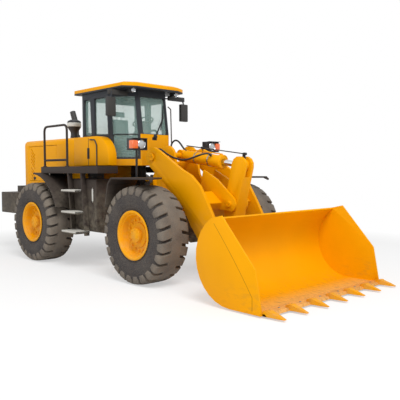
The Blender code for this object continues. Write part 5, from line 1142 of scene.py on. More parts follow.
class LOADER_OT_cab_trim(bpy.types.Operator):
    """Window rubbers, wiper, mirrors, roof lamps and the front grab rail"""

    bl_idname = "loader.cab_trim"
    bl_label = "Cab trim"

    def execute(self, context):
        for node in KEPT["glass"]:
            corners = pane_outline(node)
            loop = rounded_path(corners[-1:] + corners + corners[:2], 0.05, 4)[1:-1]
            built(f"{node}_seal", "seal", body_of(node), (add_tube, loop, sizes().seal_radius, 8))
        self.wiper()
        self.mirrors()
        self.roof_lamps()
        rail = rounded_path([at(*p) for p in FRONT_RAIL], 0.05, 6)
        built("front_grab_rail", "chassis", "root", (add_tube, rail, 0.011, 12))
        return {"FINISHED"}

    def wiper(self):
        """The arm, the blade, its bow and the motor's cover."""
        foot, head = (on_pane("glass_front", y, z, 0.035) for y, z in (WIPER_FOOT, WIPER_HEAD))
        low, high = (on_pane("glass_front", y, z, 0.014) for y, z in WIPER_BLADE)
        lift = Vector((0.012, 0, 0.002))
        built(
            "wiper", "seal", "root",
            (add_tube, [foot, foot * 0.15 + head * 0.85, head], 0.013, 10),
            (add_tube, [low, (low + high) / 2, high], 0.010, 8),
            (add_tube, [low * 0.8 + high * 0.2 + lift, head, low * 0.2 + high * 0.8 + lift], 0.006, 8),
            (add_turned, WIPER_HUB, foot, (1, 0, 0.13), 24),
            (add_block, *(foot + Vector(corner) for corner in WIPER_MOTOR), 0.010),
        )

    def mirrors(self):
        """Each mirror's glass, its housing and the bracket under the roof."""
        x, inner, outer, low, high = MIRROR_FACE
        for word, side in LEFT_AND_RIGHT:
            glass = (add_side_block, side, (x - 0.004, x + 0.003), (inner, outer), (low, high), 0.003)
            built(f"mirror_glass_{word}", "mirror", "root", glass)
            built(
                f"mirror_housing_{word}", "pipe", "root",
                (add_side_block, side, (x + 0.0035, x + 0.072), (inner - 0.018, outer + 0.016),
                 (low - 0.020, high + 0.020), 0.024),
                (add_side_block, side, (0.385, 0.425), (0.50, 0.93), (3.235, 3.325), 0.010),
            )

    def roof_lamps(self):
        """The two work lamps under the roof's front edge."""
        back, front, middle, half, low, high = ROOF_LAMP
        for word, side in LEFT_AND_RIGHT:
            y = side * middle
            face = at(front - 0.002, y, (low + high) / 2)
            box = (add_block, at(back, y - half, low), at(front, y + half, high), 0.012)
            built(f"roof_lamp_{word}", "seal", "root", box)
            dome = (add_turned, ROOF_LAMP_DOME, face, (1, 0, -0.15), 32)
            built(f"roof_lamp_lens_{word}", "white_lens", "root", dome)
            rim = (add_turned, ROOF_LAMP_RIM, face, (1, 0, -0.15), 32, True)
            built(f"roof_lamp_rim_{word}", "chrome", "root", rim)


# Seat and steering

CAB_FLOOR_Z = 2.0053
SEAT_PADS = (
    # name, low corner, high corner, lean of the top backwards, how far it may swell
    ("cushion", (-0.520, -0.225, 0.395), (-0.060, 0.225, 0.485), 0.0, 0.020),
    ("backrest", (-0.530, -0.210, 0.460), (-0.455, 0.210, 0.900), 0.052, 0.020),
    ("headrest", (-0.570, -0.130, 0.930), (-0.515, 0.130, 1.045), 0.012, 0.012),
)
PAD_VOXEL = 0.008
PAD_PRESSURE = 4.0
PAD_FRAMES = 20
BELLOWS_FOLDS = 5
BELLOWS_PITCH = 0.055
BELLOWS_FOLD_HEIGHT = 0.047
WELT_INSET = 0.03


def pad_mesh(low, high, lean):
    """A rounded block for a cushion, leaning back towards its top."""
    bm = bmesh.new()
    add_block(bm, low, high, min(h - l for l, h in zip(low, high)) * 0.42)
    for vert in bm.verts:
        share = (vert.co.z - low.z) / (high.z - low.z)
        vert.co.x -= lean * share
    return bm


def swelled(name, bm, cap):
    """Blows a closed pad up as cloth, holds each point to a cap, and smooths it."""
    obj = new_object(name, bm)
    remesh = obj.modifiers.new("Remesh", "REMESH")
    remesh.mode = "VOXEL"
    remesh.voxel_size = PAD_VOXEL
    baked(obj)
    before = [v.co.copy() for v in obj.data.vertices]
    cloth = obj.modifiers.new("Cloth", "CLOTH")
    cloth.settings.use_pressure = True
    cloth.settings.uniform_pressure_force = PAD_PRESSURE
    cloth.settings.effector_weights.gravity = 0
    for number in range(1, PAD_FRAMES + 1):
        bpy.context.scene.frame_set(number)
    baked(obj)
    for vert, start in zip(obj.data.vertices, before):
        move = vert.co - start
        if move.length > cap:
            vert.co = start + move.normalized() * cap
    bpy.context.scene.frame_set(1)
    smooth = obj.modifiers.new("Smooth", "SUBSURF")
    smooth.levels = smooth.render_levels = 1
    baked(obj)
    obj.data.materials.clear()
    obj.data.materials.append(MATERIALS["cloth"])
    obj.data.shade_smooth()
    return obj


def welt(obj, corners, radius=0.005):
    """A sewn edge that lies on a pad along a rounded loop."""
    loop = [corners[-1]] + list(corners) + list(corners[:2])
    path = rounded_path(loop, 0.05, 5)[1:-1]
    dense = []
    for first, second in zip(path, path[1:]):
        count = max(1, int((second - first).length / 0.02))
        dense += [first.lerp(second, k / count) for k in range(count)]
    bm = bmesh.new()
    add_tube(bm, [obj.closest_point_on_mesh(p)[1] for p in dense + dense[:1]], radius, 6)
    return bm


class LOADER_OT_seat(bpy.types.Operator):
    """Sprung driver's seat with padded cushions and sewn edges"""

    bl_idname = "loader.seat"
    bl_label = "Seat"

    def execute(self, context):
        base = at(0, 0, CAB_FLOOR_Z)

        def block(low, high, bevel):
            return add_block, base + Vector(low), base + Vector(high), bevel

        folds = []
        for k in range(BELLOWS_FOLDS):
            z = 0.05 + k * BELLOWS_PITCH
            folds.append(block((-0.44, -0.16, z), (-0.16, 0.16, z + BELLOWS_FOLD_HEIGHT), 0.018))
        posts = [
            (add_tube, [base + Vector((-0.555, y, 0.88)), base + Vector((-0.562, y, 0.96))], 0.007, 8)
            for y in (-0.05, 0.05)
        ]
        foot = block((-0.455, -0.175, 0.0), (-0.145, 0.175, 0.05), 0.008)
        pan = block((-0.515, -0.215, 0.325), (-0.065, 0.215, 0.395), 0.012)
        built("seat_base", "plastic", "root", foot, *folds, pan, *posts, replaces=("seat",))
        for name, low, high, lean, cap in SEAT_PADS:
            low, high = base + Vector(low), base + Vector(high)
            pad = swelled(f"seat_{name}", pad_mesh(low, high, lean), cap)
            sewn = welt(pad, self.welt_corners(name == "cushion", low, high, lean))
            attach(pad, "root")
            piece(f"seat_{name}_welt", sewn, "seal", "root")
        return {"FINISHED"}

    def welt_corners(self, lies, low, high, lean):
        """The four corners of a pad's sewn edge, on its top if it lies and else on its front."""
        left, right = low.y + WELT_INSET, high.y - WELT_INSET
        if lies:
            back, front = low.x + WELT_INSET, high.x - WELT_INSET
            corners = ((back, left), (front, left), (front, right), (back, right))
            return [Vector((x, y, high.z)) for x, y in corners]
        foot = (high.x - lean * 0.05, low.z + WELT_INSET)
        head = (high.x - lean * 0.95, high.z - WELT_INSET)
        return [Vector((x, y, z)) for y, (x, z) in ((left, foot), (right, foot), (right, head), (left, head))]


STEERING_LEAN = math.radians(24.8)
STEERING_HUB = (0.28, 0.0, 2.7053)
STEERING_BOSS = (
    (0, 0.0), (0.028, 0.0), (0.028, 0.07), (0.044, 0.078), (0.044, 0.094), (0.030, 0.102), (0, 0.102),
)
GRIP_RING = 0.200
GRIP_HEIGHT = 0.095
GRIP_RADIUS = 0.0125
SPOKES = 3


class LOADER_OT_steering(bpy.types.Operator):
    """Steering column, wheel and switch stalks"""

    bl_idname = "loader.steering"
    bl_label = "Steering"

    def execute(self, context):
        hub = at(*STEERING_HUB)
        tilt = Vector((-math.sin(STEERING_LEAN), 0, math.cos(STEERING_LEAN)))
        foot = CAB_FLOOR_Z + GROUND_Z
        column = [
            Vector((hub.x, 0, foot)), Vector((hub.x + 0.14, 0, foot)),
            Vector((hub.x + 0.04, 0, hub.z + 0.015)), Vector((hub.x - 0.04, 0, hub.z - 0.003)),
        ]
        built(
            "steering_column", "plastic", "root", (add_prism, column, (0, -0.065, 0), (0, 0.065, 0)),
            replaces=("steering_console",), bevel=0.012,
        )
        ring = [
            (GRIP_RING + GRIP_RADIUS * math.cos(a), GRIP_HEIGHT + GRIP_RADIUS * math.sin(a))
            for a in (2 * math.pi * k / 12 for k in range(12))
        ]
        side, up = frame_of(tilt)
        spokes = []
        for k in range(SPOKES):
            angle = math.pi / 2 + 2 * math.pi * k / SPOKES
            out = side * math.cos(angle) + up * math.sin(angle)
            ends = [hub + tilt * 0.082 + out * 0.03, hub + tilt * 0.094 + out * 0.197]
            spokes.append((add_tube, ends, 0.009, 10))
        stalks = [
            (add_tube, [hub + tilt * 0.03, hub + tilt * 0.04 + Vector((0, y, 0.02))], 0.006, 8)
            for y in (0.13, -0.13)
        ]
        built(
            "steering_wheel", "seal", "root", (add_turned, ring, hub, tilt, 48, True), *spokes,
            (add_turned, STEERING_BOSS, hub, tilt, 32), *stalks,
        )
        return {"FINISHED"}


# Lamps

LAMP_FACE_X = 1.28
LAMP_LENS_PLACE = (0.855, 2.30)
LAMP_LENS_RADIUS = 0.072
INDICATOR_ACROSS = (0.938, 1.056)
INDICATOR_HEIGHT = (2.222, 2.368)
TAIL_LAMP_ACROSS = (0.595, 0.695)
TAIL_LENS_ACROSS = (0.603, 0.687)
TAIL_LENSES = (("white_lens", 2.030, 2.080), ("orange_lens", 2.084, 2.134), ("red_lens", 2.138, 2.188))
LAMP_GUARD = (
    # inner and outer distance from the middle, underside, top, reach forward
    (0.750, 1.050, 2.395, 2.403, 0.045),
    (0.750, 1.050, 2.197, 2.205, 0.020),
    (0.750, 0.758, 2.197, 2.403, 0.030),
)


class LOADER_OT_lamps(bpy.types.Operator):
    """Headlamps with indicators, their guards and the tail lamps"""

    bl_idname = "loader.lamps"
    bl_label = "Lamps"

    def execute(self, context):
        face, r = LAMP_FACE_X, LAMP_LENS_RADIUS
        dome = [(0, 0.022), (r * 0.5, 0.019), (r * 0.85, 0.010), (r, 0.0), (0, 0.0)]
        rim = [
            (r - 0.003, -0.002), (r + 0.011, -0.002), (r + 0.011, 0.012), (r + 0.004, 0.018),
            (r - 0.003, 0.010),
        ]
        for word, side in LEFT_AND_RIGHT:
            centre = at(face, side * LAMP_LENS_PLACE[0], LAMP_LENS_PLACE[1])
            built(f"headlamp_lens_{word}", "white_lens", "front", (add_turned, dome, centre, FORWARD, 40))
            built(f"headlamp_rim_{word}", "chrome", "front", (add_turned, rim, centre, FORWARD, 40, True))
            depth = (face - 0.095, face + 0.028)
            indicator = (add_side_block, side, depth, INDICATOR_ACROSS, INDICATOR_HEIGHT, 0.022)
            built(f"indicator_{word}", "orange_lens", "front", indicator)
            built(f"headlamp_guard_{word}", "plastic", "front", *(
                (add_side_block, side, (face - 0.01, face + reach), (inner, outer), (low, high), 0.002)
                for inner, outer, low, high, reach in LAMP_GUARD
            ))
            tail = (add_side_block, side, (-3.292, -3.266), TAIL_LAMP_ACROSS, (2.020, 2.198), 0.006)
            built(f"tail_lamp_{word}", "plastic", "root", tail)
            for material, low, high in TAIL_LENSES:
                pane = (add_side_block, side, (-3.304, -3.288), TAIL_LENS_ACROSS, (low, high), 0.005)
                built(f"tail_{material}_{word}", material, "root", pane)
        return {"FINISHED"}


# Hood and side cover details

COVER_FACE_Y = -0.880
COVER_SEAM_X = -0.337
COVER_BAR = ((-0.27, 2.440), (-0.105, 2.432), (-0.038, 2.33), (-0.040, 1.93))
HOOD_LATCH_X = (-2.86, -2.02)
HOOD_LATCH_BUTTON = ((0, -0.004), (0.014, -0.004), (0.014, 0.010), (0, 0.010))


class LOADER_OT_cover_trim(bpy.types.Operator):
    """Seam, latch and bar of the side cover, and the latches of the hood doors"""

    bl_idname = "loader.cover_trim"
    bl_label = "Cover trim"

    def execute(self, context):
        x, y = COVER_SEAM_X, COVER_FACE_Y
        seam = (add_block, at(x - 0.007, y - 0.002, 1.950), at(x + 0.007, y + 0.004, 2.47), 0.001)
        built("cover_seam", "seal", "root", seam)
        bar = rounded_path([at(x, y - 0.012, z) for x, z in COVER_BAR], 0.06, 6)
        built("cover_bar", "pipe", "root", (add_tube, bar, 0.012, 12))
        built(
            "cover_latch", "seal", "root",
            (add_block, at(-0.372, y - 0.010, 2.075), at(-0.302, y + 0.004, 2.285), 0.006),
            (add_block, at(-0.349, y - 0.022, 2.10), at(-0.325, y - 0.006, 2.26), 0.006),
        )
        for word, side in LEFT_AND_RIGHT:
            parts = []
            for x in HOOD_LATCH_X:
                centre = at(x + 0.02, side * 0.724, 1.682)
                parts += [
                    (add_side_block, side, (x, x + 0.09), (0.717, 0.730), (1.655, 1.710), 0.004),
                    (add_turned, HOOD_LATCH_BUTTON, centre, (0, side, 0), 20),
                ]
            built(f"hood_latch_{word}", "seal", f"hood_door_{word}", *parts)
        return {"FINISHED"}


# Steps and rails

STEPS = (
    # middle, height, outer end
    (-0.36, 1.49, 1.33), (-0.30, 1.09, 1.37), (-0.24, 0.73, 1.40),
)
STEP_HALF = 0.25
RAIL_Y = 1.13
RAIL_ENDS = (-1.58, -0.70)
HAND_RAIL = ((-1.58, 1.81), (-1.58, 2.74), (-0.70, 2.74), (-0.70, 1.81))
STEP_GRAB = ((-0.62, 1.13, 1.86), (-0.60, 1.16, 1.72), (-0.62, 1.16, 1.34), (-0.60, 1.12, 1.28))
DECK_STAY = ((-1.425, -1.13, 1.88), (-1.35, -1.13, 1.58), (-1.288, -1.13, 1.29))
STEP_STUD = ((0, 0), (0.007, 0), (0.004, 0.004), (0, 0.004))
STEP_STUD_GAPS = (0.044, 0.045)
DECK_STUD = ((0, 0), (0.009, 0), (0.005, 0.004), (0, 0.004))
DECK_STUD_GAP = 0.058
RAIL_COVER_RADIUS = 0.0225
# back, front, underside, top
SIGHT_GLASS = (0.105, 0.145, 1.29, 1.51)


class LOADER_OT_steps(bpy.types.Operator):
    """Step treads, deck grip, smooth hand rails and the tank's sight glass"""

    bl_idname = "loader.steps"
    bl_label = "Steps and rails"

    def execute(self, context):
        radius = RAIL_COVER_RADIUS
        flange = [(0, 0), (0.045, 0), (0.045, 0.010), (radius, 0.016), (0, 0.016)]
        for word, side in LEFT_AND_RIGHT:
            built(f"step_treads_{word}", "tread", "root", *(
                (add_side_block, side, (middle - STEP_HALF, middle + STEP_HALF), (1.106, outer + 0.001),
                 (height - 0.028, height + 0.004), 0.004)
                for middle, height, outer in STEPS
            ))
            self.studs(word, side)
            rail = rounded_path([at(x, side * RAIL_Y, z) for x, z in HAND_RAIL], 0.12, 8)
            built(
                f"hand_rail_{word}", "chassis", "root", (add_tube, rail, radius, 16),
                (add_tube, [at(x, side * RAIL_Y, 2.06) for x in RAIL_ENDS], radius, 16),
                *((add_turned, flange, at(x, side * RAIL_Y, 1.930), UP, 24) for x in RAIL_ENDS),
            )
            grab = rounded_path([at(x, side * y, z) for x, y, z in STEP_GRAB], 0.05, 5)
            built(f"step_grab_{word}", "chassis", "root", (add_tube, grab, 0.012, 12))
        built("deck_stay", "tread", "root", (add_tube, [at(*p) for p in DECK_STAY], 0.014, 12))
        back, front, low, high = SIGHT_GLASS
        tube = (add_block, at(back, -1.108, low), at(front, -1.096, high), 0.004)
        built("sight_glass", "band", "root", tube)
        built("sight_glass_bolts", "zinc", "root", *(
            (add_bolt, at((back + front) / 2, -1.098, z), (0, -1, 0), 0.010, 0.012)
            for z in (low - 0.012, high + 0.012)
        ))
        return {"FINISHED"}

    def studs(self, word, side):
        """Raised grip dots on the treads and the deck."""
        along, across = STEP_STUD_GAPS
        for k, (middle, height, outer) in enumerate(STEPS):
            near = min(side * 1.125, side * (outer - 0.02))
            bm = bmesh.new()
            add_turned(bm, STEP_STUD, at(middle - STEP_HALF + 0.03, near, height + 0.003), UP, 8)
            repeated(
                f"step_studs_{word}_{k}", bm, "grid", "tread", "root", columns=11,
                rows=int((outer - 1.145) / across) + 1, column_step=(along, 0.0, 0.0),
                row_step=(0.0, across, 0.0),
            )
        bm = bmesh.new()
        add_turned(bm, DECK_STUD, at(-1.54, min(side * 0.93, side * 1.17), 1.929), UP, 8)
        repeated(
            f"deck_studs_{word}", bm, "grid", "chassis", "root", columns=33, rows=5,
            column_step=(DECK_STUD_GAP, 0.0, 0.0), row_step=(0.0, DECK_STUD_GAP, 0.0),
        )


# Cylinders, pins and hoses

LIFT_BASE = (0.9088, 1.2055)
LIFT_EYE = (1.9748, 1.4321)
TILT_BASE = (1.36, 2.12)
ROCKER_HEAD = (2.84, 1.93)
CYLINDERS = (
    # kind, side, across, base, eye, tube radius, tube length, start of the rod, rod radius, eye radius
    ("tilt", "", 0.0, TILT_BASE, ROCKER_HEAD, 0.105, 1.06, 0.46, 0.050, 0.100),
    ("lift", "_left", 0.43, LIFT_BASE, LIFT_EYE, 0.085, 0.985, 0.165, 0.045, 0.085),
    ("lift", "_right", -0.43, LIFT_BASE, LIFT_EYE, 0.085, 0.985, 0.165, 0.045, 0.085),
)
EYE_HALF = 0.0475
EYE_PIN = 0.042
GLAND_LENGTH = 0.09
LINE_FOOT = 0.19
LINE_HEAD = 0.045
STRAP_SHARES = (0.40, 0.72)


def barrel_section(radius, length, rod_radius):
    """A tube's radius at each distance along it, from the closed end round the mouth to the bore's end."""
    bore = rod_radius + 0.0012
    collar = radius + 0.017
    gland = length - GLAND_LENGTH
    return [
        (0, radius * 0.72), (radius * 0.70, radius * 0.80), (radius * 0.97, radius * 1.25),
        (radius, radius * 1.45), (radius, gland), (collar - 0.004, gland), (collar, gland + 0.004),
        (collar, length - 0.012), (collar - 0.012, length), (bore + 0.012, length),
        (bore + 0.008, length - 0.008), (bore, length - 0.010), (bore, radius * 1.8), (0, radius * 1.8),
    ]


def eye_section(radius):
    """The ring that takes a cylinder's pin."""
    half, edge = EYE_HALF, 0.008
    return [
        (EYE_PIN, -half), (radius - edge, -half), (radius, -half + edge), (radius, half - edge),
        (radius - edge, half), (EYE_PIN, half),
    ]


class LOADER_OT_cylinders(bpy.types.Operator):
    """Hydraulic cylinders with glands, chrome rods and eyes, and the tilt cylinder's feed line"""

    bl_idname = "loader.cylinders"
    bl_label = "Cylinders"

    def execute(self, context):
        for kind, word, across, base, eye, radius, length, rod_start, rod_radius, eye_radius in CYLINDERS:
            start, end = at(base[0], across, base[1]), at(eye[0], across, eye[1])
            along = (end - start).normalized()
            barrel, rod = f"{kind}_barrel{word}", f"{kind}_rod{word}"
            built(
                f"{barrel}_tube", "yellow", body_of(barrel),
                (add_turned, barrel_section(radius, length, rod_radius), start, along, 48),
                (add_turned, eye_section(radius), start, (0, 1, 0), 40, True), replaces=(barrel,),
            )
            reach = (end - start).length - eye_radius * 0.9
            bar = [(0, rod_start), (rod_radius, rod_start), (rod_radius, reach), (0, reach)]
            built(f"{rod}_bar", "chrome", body_of(rod), (add_turned, bar, start, along, 40), replaces=(rod,))
            ring = (add_turned, eye_section(eye_radius), end, (0, 1, 0), 40, True)
            built(f"{rod}_eye", "yellow", body_of(rod), ring)
            if kind == "tilt":
                self.feed_line(barrel, start, along, radius, length)
        return {"FINISHED"}

    def feed_line(self, barrel, start, along, radius, length):
        """A steel line from the base port to the gland, with its straps."""
        over = Vector((-along.z, 0, along.x))
        ports = [start + along * place for place in (LINE_FOOT, length - LINE_HEAD)]
        rise = over * (radius + 0.024)
        path = [
            ports[0] + over * (radius - 0.012), ports[0] + rise,
            ports[1] + rise, ports[1] + over * (radius + 0.008),
        ]
        union = [(0, radius - 0.01), (0.020, radius - 0.01), (0.020, radius + 0.012), (0, radius + 0.012)]
        built(
            f"{barrel}_line", "yellow", body_of(barrel), (add_tube, rounded_path(path, 0.024, 5), 0.010, 12),
            *((add_turned, union, port, over, 20) for port in ports),
        )
        inner, outer = radius - 0.004, radius + 0.003
        strap = [(inner, -0.014), (outer, -0.014), (outer, 0.014), (inner, 0.014)]
        built(f"{barrel}_straps", "zinc", body_of(barrel), *(
            (add_turned, strap, start + along * length * share, along, 48, True) for share in STRAP_SHARES
        ))


PIN_CAPS = (
    # name, body, x, z, distance out, radius, number of bolts
    ("boom_pin", "front", 1.28, 2.08, 0.640, 0.068, 3),
    ("hinge_pin", "bucket", 3.0805, 0.4185, 0.672, 0.050, 3),
    ("rocker_pin", "boom", 2.68, 1.30, 0.1775, 0.050, 2),
    ("link_pin", "bucket", 3.195, 0.625, 0.1155, 0.033, 2),
    ("tail_pin", "rocker", 2.63, 0.685, 0.1245, 0.033, 2),
)


GREASE_NIPPLE = ((0, 0), (0.006, 0), (0.006, 0.006), (0.003, 0.010), (0.004, 0.016), (0, 0.018))


class LOADER_OT_pins(bpy.types.Operator):
    """End caps of the loader's pins with their bolts and grease nipples"""

    bl_idname = "loader.pins"
    bl_label = "Pin caps"

    def execute(self, context):
        for name, body, x, z, out, radius, bolts in PIN_CAPS:
            cap = [
                (0, -0.002), (radius, -0.002), (radius, 0.008), (radius - 0.005, 0.012),
                (radius * 0.3, 0.012), (radius * 0.26, 0.007), (0, 0.007),
            ]
            for word, side in LEFT_AND_RIGHT:
                centre, axis = at(x, side * out, z), (0, side, 0)
                built(f"{name}_{word}", "yellow", body, (add_turned, cap, centre, axis, 40))
                parts = []
                for k in range(bolts):
                    a = 2 * math.pi * k / bolts + 0.5
                    spoke = Vector((math.cos(a), 0, math.sin(a))) * radius * 0.66
                    spot = centre + spoke + Vector((0, side * 0.011, 0))
                    parts.append((add_bolt, spot, axis, radius * 0.15, 0.009))
                nipple = (add_turned, GREASE_NIPPLE, centre + Vector((0, side * 0.006, 0)), axis, 12)
                built(f"{name}_bolts_{word}", "yellow", body, *parts, nipple)
        return {"FINISHED"}


HOSES = (
    # name, first body, last body, blend from and to, points
    ("tilt_hose_near", "front", "tilt_barrel", (1.30, 1.90), (
        (1.045, -0.300, 2.06), (1.050, -0.345, 2.13), (1.10, -0.350, 2.215), (1.19, -0.352, 2.225),
        (1.33, -0.350, 2.155), (1.50, -0.350, 2.083), (1.68, -0.345, 2.040), (1.85, -0.335, 2.032),
        (2.02, -0.300, 2.075), (2.13, -0.225, 2.120), (2.19, -0.150, 2.130), (2.215, -0.095, 2.095),
    )),
    ("tilt_hose_arch", "front", "tilt_barrel", (1.00, 1.30), (
        (0.930, 0.120, 2.015), (0.925, 0.120, 2.12), (0.925, 0.120, 2.26), (0.955, 0.120, 2.355),
        (1.040, 0.120, 2.405), (1.130, 0.118, 2.390), (1.215, 0.110, 2.33), (1.300, 0.095, 2.26),
        (1.400, 0.070, 2.195),
    )),
)
HOSE_PAIRS = (
    # as above, with the points of the left one
    ("lift_hose", "front", "lift_barrels", (0.86, 1.00), (
        (0.810, 0.300, 1.56), (0.812, 0.350, 1.56), (0.825, 0.395, 1.53), (0.880, 0.420, 1.47),
        (0.960, 0.430, 1.41), (1.030, 0.430, 1.355), (1.065, 0.430, 1.318),
    )),
    ("pivot_hose", "root", "front", (-0.35, 0.35), (
        (-0.60, 0.20, 1.02), (-0.45, 0.20, 1.02), (-0.25, 0.20, 0.97), (0.0, 0.20, 0.94),
        (0.25, 0.20, 0.97), (0.42, 0.20, 1.0),
    )),
)
VALVE_SPOOLS = 3
SPOOL_CAP = ((0, 0), (0.030, 0), (0.030, 0.045), (0.020, 0.055), (0, 0.055))
VALVE_PORT = ((0, 0), (0.026, 0), (0.026, 0.04), (0, 0.04))
LEVEL_ROD_LENGTH = 1.40
LEVEL_GUIDE_PLACE = 0.98
LEVEL_ROD_KNOB = ((0, -0.028), (0.022, -0.028), (0.022, 0.028), (0, 0.028))
LEVEL_GUIDE = ((0.0105, -0.04), (0.020, -0.04), (0.020, 0.04), (0.0105, 0.04))


class LOADER_OT_hoses(bpy.types.Operator):
    """Hydraulic hoses that follow the arm, the valve block, whose dark finish also paints the shade between
    the frame's towers, and the bucket's level rod
    """

    bl_idname = "loader.hoses"
    bl_label = "Hoses"

    def execute(self, context):
        for name, first, last, span, points in HOSES:
            self.hose(name, first, last, span, [at(*p) for p in points])
        for name, first, last, span, points in HOSE_PAIRS:
            for word, side in LEFT_AND_RIGHT:
                self.hose(f"{name}_{word}", first, last, span, [at(x, side * y, z) for x, y, z in points])
        self.level_rod()
        self.valve()
        return {"FINISHED"}

    def hose(self, name, first, last, span, points):
        """A hose with its two ferrules."""
        radius = sizes().hose_radius
        ferrule = [(radius, 0), (radius + 0.006, 0), (radius + 0.006, 0.040), (radius, 0.046)]
        path = smooth_path(points, 6)
        ends = ((path[0], path[3]), (path[-1], path[-4]))
        obj = built(
            name, "hose", None, (add_tube, path, radius, 14),
            *((add_turned, ferrule, tip, (inner - tip).normalized(), 16, True) for tip, inner in ends),
        )
        height = path[len(path) // 2].z - GROUND_Z
        start, end = (tuple(at(x, 0, height)) for x in span)
        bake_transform(obj)

    def valve(self):
        """The main valve block, which stands on the front frame's upper hinge plate. Its dark block also
        stands in for the shade between the frame's towers, as painted shade.
        """
        spools = []
        for k in range(VALVE_SPOOLS):
            spools += [
                (add_turned, SPOOL_CAP, at(0.58, -0.07 + 0.07 * k, 1.715), UP, 20),
                (add_turned, VALVE_PORT, at(0.58, -0.154, 1.39 + 0.085 * k), (0, -1, 0), 6),
            ]
        # the valve's dark finish also fills the gap between the towers with painted shade
        built(
            "main_valve", "pipe", "front", (add_block, at(0.46, -0.155, 1.325), at(0.70, 0.155, 1.62), 0.012),
            (add_block, at(0.49, -0.115, 1.615), at(0.67, 0.115, 1.72), 0.010), *spools,
        )

    def level_rod(self):
        """A thin rod beside the tilt cylinder that shows the driver how the bucket lies."""
        slope = Vector((ROCKER_HEAD[0] - TILT_BASE[0], 0, ROCKER_HEAD[1] - TILT_BASE[1])).normalized()
        over = Vector((-slope.z, 0, slope.x))
        far = at(2.885, 0.0, 2.112)
        guide = far - slope * LEVEL_GUIDE_PLACE
        built("level_rod", "pipe", "tilt_rod", (add_tube, [far - slope * LEVEL_ROD_LENGTH, far], 0.009, 12))
        built(
            "level_rod_bracket", "seal", "tilt_rod",
            (add_block, at(2.845, -0.018, 2.020), at(2.885, 0.018, 2.130), 0.004),
            (add_turned, LEVEL_ROD_KNOB, far, (0, 1, 0), 20),
        )
        built(
            "level_rod_guide", "seal", "tilt_barrel", (add_turned, LEVEL_GUIDE, guide, slope, 20, True),
            (add_tube, [guide - over * 0.016, guide - over * 0.095], 0.009, 10),
        )


# Bucket edge

TOOTH_SECTIONS = (
    # x, half the width, bottom, top
    (4.462, 0.055, 0.024, 0.088), (4.535, 0.055, 0.0248, 0.106), (4.560, 0.052, 0.0248, 0.104),
    (4.575, 0.046, 0.0250, 0.094), (4.680, 0.040, 0.0250, 0.066), (4.785, 0.024, 0.0250, 0.034),
)
TOOTH_COUNT = 7
EDGE_HALF_WIDTH = 1.4547
EDGE_OUTLINE = ((4.3403, 0.025), (4.540, 0.025), (4.512, 0.060), (4.3403, 0.060))
EDGE_BOLT = ((0, -0.002), (0.016, -0.002), (0.016, 0.006), (0.010, 0.010), (0, 0.010))
EDGE_BOLT_ROWS = 2
EDGE_BOLT_GAP = 0.19


class LOADER_OT_bucket_edge(bpy.types.Operator):
    """Cutting edge with its bolts and the row of tapered teeth"""

    bl_idname = "loader.bucket_edge"
    bl_label = "Cutting edge and teeth"

    def execute(self, context):
        outline = [at(x, 0, z) for x, z in EDGE_OUTLINE]
        edge = (add_prism, outline, (0, -EDGE_HALF_WIDTH, 0), (0, EDGE_HALF_WIDTH, 0))
        built("cutting_edge", "bucket", "bucket", edge, replaces=("bucket_edge",), bevel=0.003)
        reach = EDGE_HALF_WIDTH - TOOTH_SECTIONS[0][1]
        gap = (0.0, 2 * reach / (TOOTH_COUNT - 1), 0.0)
        bm = bmesh.new()
        rings = []
        for x, half, low, high in TOOTH_SECTIONS:
            corners = ((-half, low), (half, low), (half, high), (-half, high))
            rings.append([bm.verts.new(at(x, y - reach, z)) for y, z in corners])
        close_loft(bm, rings)
        bevel_corners(bm, 40, 0.004, 2)
        repeated(
            "bucket_teeth", bm, "grid", "yellow", "bucket", columns=TOOTH_COUNT, rows=1,
            column_step=gap, row_step=(0.0, 0.0, 0.0),
        )
        bm = bmesh.new()
        add_turned(bm, EDGE_BOLT, at(4.425, -reach + 0.14, 0.060), UP, 16)
        repeated(
            "edge_bolts", bm, "grid", "steel", "bucket", columns=TOOTH_COUNT - 1, rows=EDGE_BOLT_ROWS,
            column_step=gap, row_step=(0.0, EDGE_BOLT_GAP, 0.0),
        )
        return {"FINISHED"}


# Stage


FLOOR_HALF = 60.0
CAMERA_TURN = (46.130, 3.308, -0.186)
CAMERA_SENSOR = 36.0
CAMERA_SHIFT = 0.0054
LAMP_AIM = (0.0, 0.0, 1.2)
LAMPS = (
    # name, place, size, share of the key light's power
    ("key_light", (12.0, -6.5, 16.0), 8.0, 1.0),
    ("side_light", (-4.0, -11.0, 6.0), 6.0, 0.06),
)


